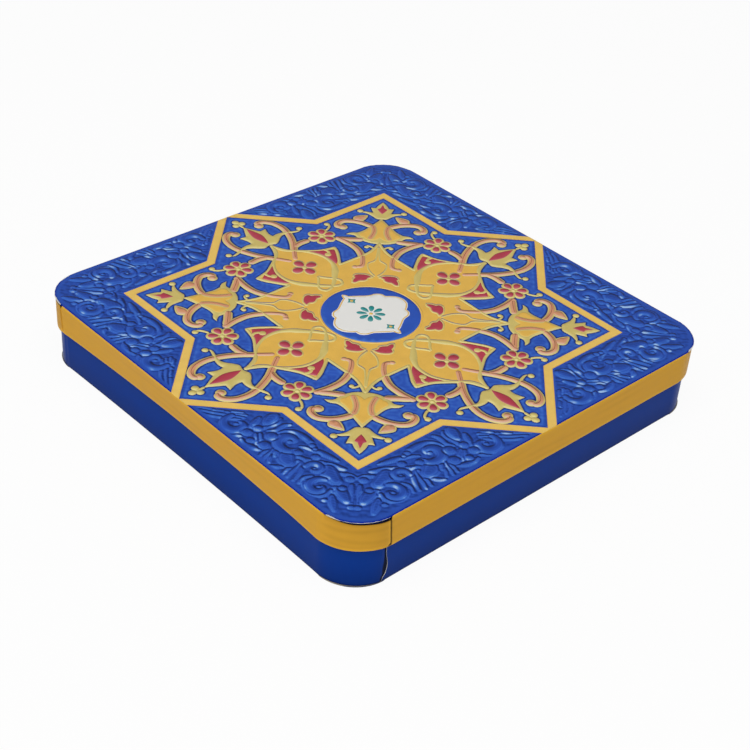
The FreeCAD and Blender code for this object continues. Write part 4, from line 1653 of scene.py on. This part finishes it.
# The bottom card's edges: angles in degrees, insets in metres and heights in thicknesses
BOTTOM_ANGLES = np.radians((56, 45, 32, 18, 0))
BOTTOM_INSIDE = (0.003, 0.0012)
BOTTOM_OUTSIDE = (0.0015, 0.003)
BOTTOM_CUT_IN = np.array((*BOTTOM_INSIDE, 0.0002, 0.00002, 0, 0, 0.00003, 0.0001, *BOTTOM_OUTSIDE))
BOTTOM_CUT_UP = np.array((1, 1, 1, 0.95, 0.8, 0.3, 0.1, 0, 0, 0))
BOTTOM_EDGE_SHADOW = 0.15
BOTTOM_STEPS = (50, 60)
INNER_BANDS = 2
CUT_BANDS = 6
EDGE_POINTS = 8
CUT_SHARE = 0.4


class GiftBoxTrayBottom(bpy.types.Operator):
    """Make the tray's bottom card: rolled up at the straight edges, cut square at the corners"""
    bl_idname = "gift_box.tray_bottom"
    bl_label = "Tray Bottom"

    def execute(self, context):
        sizes = context.scene.gift_box_sizes
        half, corner, fold = TRAY_HALF, sizes.bottom_corner, sizes.fold
        s, arc, arc_length = panel_path(half, corner, *BOTTOM_STEPS)
        cut = smooth_step(np.minimum(arc, arc_length - arc) / PANEL_BLEND + 0.5)[:, None]
        roll = fold * (1 - np.sin(BOTTOM_ANGLES))
        rolled_in = (*BOTTOM_INSIDE, ROLL_BACK, *roll, *BOTTOM_OUTSIDE)
        rolled_up = (COVER, COVER, COVER * ROLL_DEPTH, *(fold * (1 - np.cos(BOTTOM_ANGLES))), 0, 0)
        inset = np.array(rolled_in) * (1 - cut) + BOTTOM_CUT_IN * cut
        height = np.array(rolled_up) * (1 - cut) + BOTTOM_CUT_UP * COVER * cut
        points, quads, tris = card_panel(half, corner, s, inset, height)
        row, col = np.divmod(np.arange(len(quads)), inset.shape[1] - 1)
        torn = (cut[row, 0] > CUT_FROM) & (arc[row] < CUT_SHARE * arc_length)
        white = (col < INNER_BANDS) | ((col < CUT_BANDS) & torn)
        bare = np.concatenate((white, np.ones(len(s), bool), np.zeros(len(s), bool)))
        # The card's edge is painted dark: a painted shadow line along the foot of the box
        tone = np.where(np.arange(inset.shape[1]) < EDGE_POINTS, BOTTOM_EDGE_SHADOW, 0.5)
        shade = np.append(np.tile(tone, len(s)), (0.5, 0.5))
        make_piece("tray_bottom", (bowed(points, tray_bow), quads, tris), "base",
                   ("base_bottom_panel",), ("tray_card", "grey_board"), bare, shade)
        return {"FINISHED"}


STRIP_JOINT = 0.0001
STRIP_STEPS = 320
STRIP_ROWS = 14
BOARD_RIM = 0.003


class GiftBoxStrips(bpy.types.Operator):
    """Make the board strips behind the sides, the tray's wall lining and the lid's board"""
    bl_idname = "gift_box.strips"
    bl_label = "Board Strips"

    def execute(self, context):
        sizes = context.scene.gift_box_sizes
        rim, wall = sizes.band_corner - COVER, sizes.tray_corner - COVER
        for name, node, box, body, slot, material, corner, thick, share in (
                ("lid_rim_strip", "lid_rim_board", RIM_BOARD, "lid", "greyboard", "grey_board",
                 rim, sizes.rim_board, lid_bow),
                ("tray_wall_strip", "base_wall_board", WALL_BOARD, "base", "greyboard", "grey_board",
                 wall, sizes.wall_board, tray_bow),
                ("tray_wall_lining", "base_wall_lining", WALL_LINING, "base", "lining_paper",
                 "white_lining", wall - sizes.wall_board, sizes.lining, tray_bow)):
            half = box[1].x
            end = 2 * (2 * (half - corner) + QUARTER * corner) - STRIP_JOINT
            s = np.linspace(-end, end, STRIP_STEPS + 1)[:, None]
            up = np.linspace(box[1].z - sizes.board_drop * (body == "lid"), box[0].z, STRIP_ROWS) + 0 * s
            points, quads, _ = folded_card(s + 0 * up, half, corner, 0 * up, up, thick)
            make_piece(name, (bowed(points, share), quads, NO_TRIS), body, (node,), (material,),
                       values=np.full(len(points), 0.5))
        half, corner = LID_HALF - COVER - sizes.board_inset, rim - sizes.board_inset
        low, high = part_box("lid_top_board")[0].z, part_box("lid_top_board")[1].z
        length = 4 * (2 * (half - corner) + QUARTER * corner)
        s = np.linspace(0, length, STRIP_STEPS, endpoint=False)[:, None]
        inset = np.array((BOARD_RIM, 0, 0, BOARD_RIM)) + 0 * s
        board = card_panel(half, corner, s, inset, np.array((high, high, low, low)) + 0 * s)
        make_piece("lid_board", board, "lid", ("lid_top_board",), ("grey_board",),
                   values=np.full(len(board[0]), 0.5))
        return {"FINISHED"}


class GiftBoxInside(bpy.types.Operator):
    """Give the boards, linings and tape of the construction model their finishes"""
    bl_idname = "gift_box.inside"
    bl_label = "Boards and Linings"

    def execute(self, context):
        for material, nodes in (
                ("grey_board", ("base_bottom_board",)),
                ("white_lining", ("lid_lining_sheet", "base_floor_lining")),
                ("kraft_tape", ("lid_rim_stay", "base_wall_stay"))):
            for node in nodes:
                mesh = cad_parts[node].data
                mesh.materials.clear()
                mesh.materials.append(bpy.data.materials[material])
        return {"FINISHED"}


# The stage: each lamp's place and size, and the floor's half side, depth and brightness
KEY_LAMP = ((0.35, -0.5, 1.5), 1.6)
FILL_LAMP = ((0.5, -1.5, 0.5), 1.2)
FLOOR_HALF = 12.0
FLOOR_UP = -0.0002
FLOOR_GLOW = 0.93
SENSOR = 36
WHITE = (1, 1, 1, 1)


def seen_directly(tree):
    """1 on camera, glossy and transmission rays, and 0 on the rays that light the box."""
    path = tree.nodes.new("ShaderNodeLightPath")
    seen = math_node(tree, "MAXIMUM", path.outputs["Is Camera Ray"], path.outputs["Is Glossy Ray"])
    return math_node(tree, "MAXIMUM", seen, path.outputs["Is Transmission Ray"])


class GiftBoxStageSet(bpy.types.Operator):
    """Set the camera, the lamps, the pale floor and the white room"""
    bl_idname = "gift_box.stage_set"
    bl_label = "Stage"

    def execute(self, context):
        stage = context.scene.gift_box_stage
        context.scene.view_settings.view_transform = "Standard"
        self.add_camera(context, stage)
        self.add_lamp(context, "key_lamp", *KEY_LAMP, stage.key)
        self.add_lamp(context, "fill_lamp", *FILL_LAMP, stage.fill)
        self.add_floor(context, stage)
        self.set_world(context, stage)
        return {"FINISHED"}

    @staticmethod
    def add_camera(context, stage):
        """The camera's axes: back along azimuth and elevation, right and up turned by the roll."""
        a, e, r = stage.azimuth, stage.elevation, stage.roll
        back = np.array((math.sin(a) * math.cos(e), -math.cos(a) * math.cos(e), math.sin(e)))
        level = np.array((math.cos(a), math.sin(a), 0))
        upright = np.cross(back, level)
        right = math.cos(r) * level + math.sin(r) * upright
        up = math.cos(r) * upright - math.sin(r) * level
        axes = np.eye(4)
        axes[:3, :3] = np.column_stack((right, up, back))
        axes[:3, 3] = np.array(stage.eye) + (0, 0, LID_TOP)
        camera = bpy.data.cameras.new("camera")
        camera.lens = stage.lens
        camera.sensor_width = SENSOR
        camera.clip_start = 0.01
        viewer = bpy.data.objects.new("camera", camera)
        viewer.matrix_world = Matrix(axes.tolist())
        context.scene.collection.objects.link(viewer)
        context.scene.camera = viewer

    @staticmethod
    def add_lamp(context, name, place, size, power):
        """A square soft lamp that faces the box."""
        lamp = bpy.data.lights.new(name, "AREA")
        lamp.size = size
        lamp.energy = power
        holder = bpy.data.objects.new(name, lamp)
        facing = Vector(place).to_track_quat("Z", "Y").to_matrix().to_4x4()
        holder.matrix_world = Matrix.Translation(place) @ facing
        context.scene.collection.objects.link(holder)

    @staticmethod
    def add_floor(context, stage):
        """A wide floor just under the box: its own pale colour in the light, let up to white for the
        camera."""
        tree, shader = new_material("pale_floor")
        shader.inputs["Base Color"].default_value = (*stage.floor, 1)
        shader.inputs["Roughness"].default_value = 0.9
        glow = tree.nodes.new("ShaderNodeEmission")
        glow.inputs["Color"].default_value = WHITE
        mix = tree.nodes.new("ShaderNodeMixShader")
        tree.links.new(math_node(tree, "MULTIPLY", seen_directly(tree), FLOOR_GLOW), mix.inputs["Fac"])
        tree.links.new(shader.outputs["BSDF"], mix.inputs[1])
        tree.links.new(glow.outputs["Emission"], mix.inputs[2])
        tree.links.new(mix.outputs["Shader"], tree.nodes["Material Output"].inputs["Surface"])
        mesh = bpy.data.meshes.new("floor")
        ways = ((-1, -1), (1, -1), (1, 1), (-1, 1))
        corners = [(x * FLOOR_HALF, y * FLOOR_HALF, FLOOR_UP) for x, y in ways]
        mesh.from_pydata(corners, [], [(0, 1, 2, 3)])
        mesh.materials.append(bpy.data.materials["pale_floor"])
        floor = bpy.data.objects.new("floor", mesh)
        context.scene.collection.objects.link(floor)
        floor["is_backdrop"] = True

    @staticmethod
    def set_world(context, stage):
        """Even light from all round, and white where the camera or a reflection looks past the floor."""
        world = bpy.data.worlds.new("white_room")
        world.use_nodes = True
        tree = world.node_tree
        background = tree.nodes["Background"]
        background.inputs["Color"].default_value = WHITE
        strength = math_node(tree, "MULTIPLY_ADD", seen_directly(tree), 1 - stage.sky, stage.sky)
        tree.links.new(strength, background.inputs["Strength"])
        context.scene.world = world


PIECES = (
    GiftBoxInks, GiftBoxLidCard, GiftBoxLidFields, GiftBoxStarBorder, GiftBoxFlower, GiftBoxStems,
    GiftBoxRosettes, GiftBoxLotuses, GiftBoxRoundel, GiftBoxStarGround, GiftBoxLidSides, GiftBoxTraySides,
    GiftBoxTrayBottom, GiftBoxStrips, GiftBoxInside, GiftBoxStageSet,
)
SETTINGS = (
    ("gift_box_sizes", GiftBoxSizes), ("gift_box_ornament", GiftBoxOrnament),
    ("gift_box_colours", GiftBoxColours), ("gift_box_stage", GiftBoxStage),
)


class VIEW3D_PT_gift_box(bpy.types.Panel):
    """Settings and pieces of the gift box"""
    bl_label = "Gift Box"
    bl_idname = "VIEW3D_PT_gift_box"
    bl_space_type = "VIEW_3D"
    bl_region_type = "UI"
    bl_category = "Gift Box"

    def draw(self, context):
        for name, group in SETTINGS:
            box = self.layout.box()
            for key in group.__annotations__:
                box.prop(getattr(context.scene, name), key)
        for piece in PIECES:
            self.layout.operator(piece.bl_idname)


def register():
    for name, group in SETTINGS:
        bpy.utils.register_class(group)
        setattr(bpy.types.Scene, name, PointerProperty(type=group))
    for piece in (*PIECES, VIEW3D_PT_gift_box):
        bpy.utils.register_class(piece)


def unregister():
    for piece in reversed((*PIECES, VIEW3D_PT_gift_box)):
        bpy.utils.unregister_class(piece)
    for name, group in reversed(SETTINGS):
        delattr(bpy.types.Scene, name)
        bpy.utils.unregister_class(group)


def main():
    """Makes every piece in order."""
    register()
    bpy.ops.gift_box.inks()
    bpy.ops.gift_box.lid_card()
    bpy.ops.gift_box.lid_fields()
    bpy.ops.gift_box.star_border()
    bpy.ops.gift_box.flower()
    bpy.ops.gift_box.stems()
    bpy.ops.gift_box.rosettes()
    bpy.ops.gift_box.lotuses()
    bpy.ops.gift_box.roundel()
    bpy.ops.gift_box.star_ground()
    bpy.ops.gift_box.lid_sides()
    bpy.ops.gift_box.tray_sides()
    bpy.ops.gift_box.tray_bottom()
    bpy.ops.gift_box.strips()
    bpy.ops.gift_box.inside()
    bpy.ops.gift_box.stage_set()


if __name__ == "__main__":
    main()
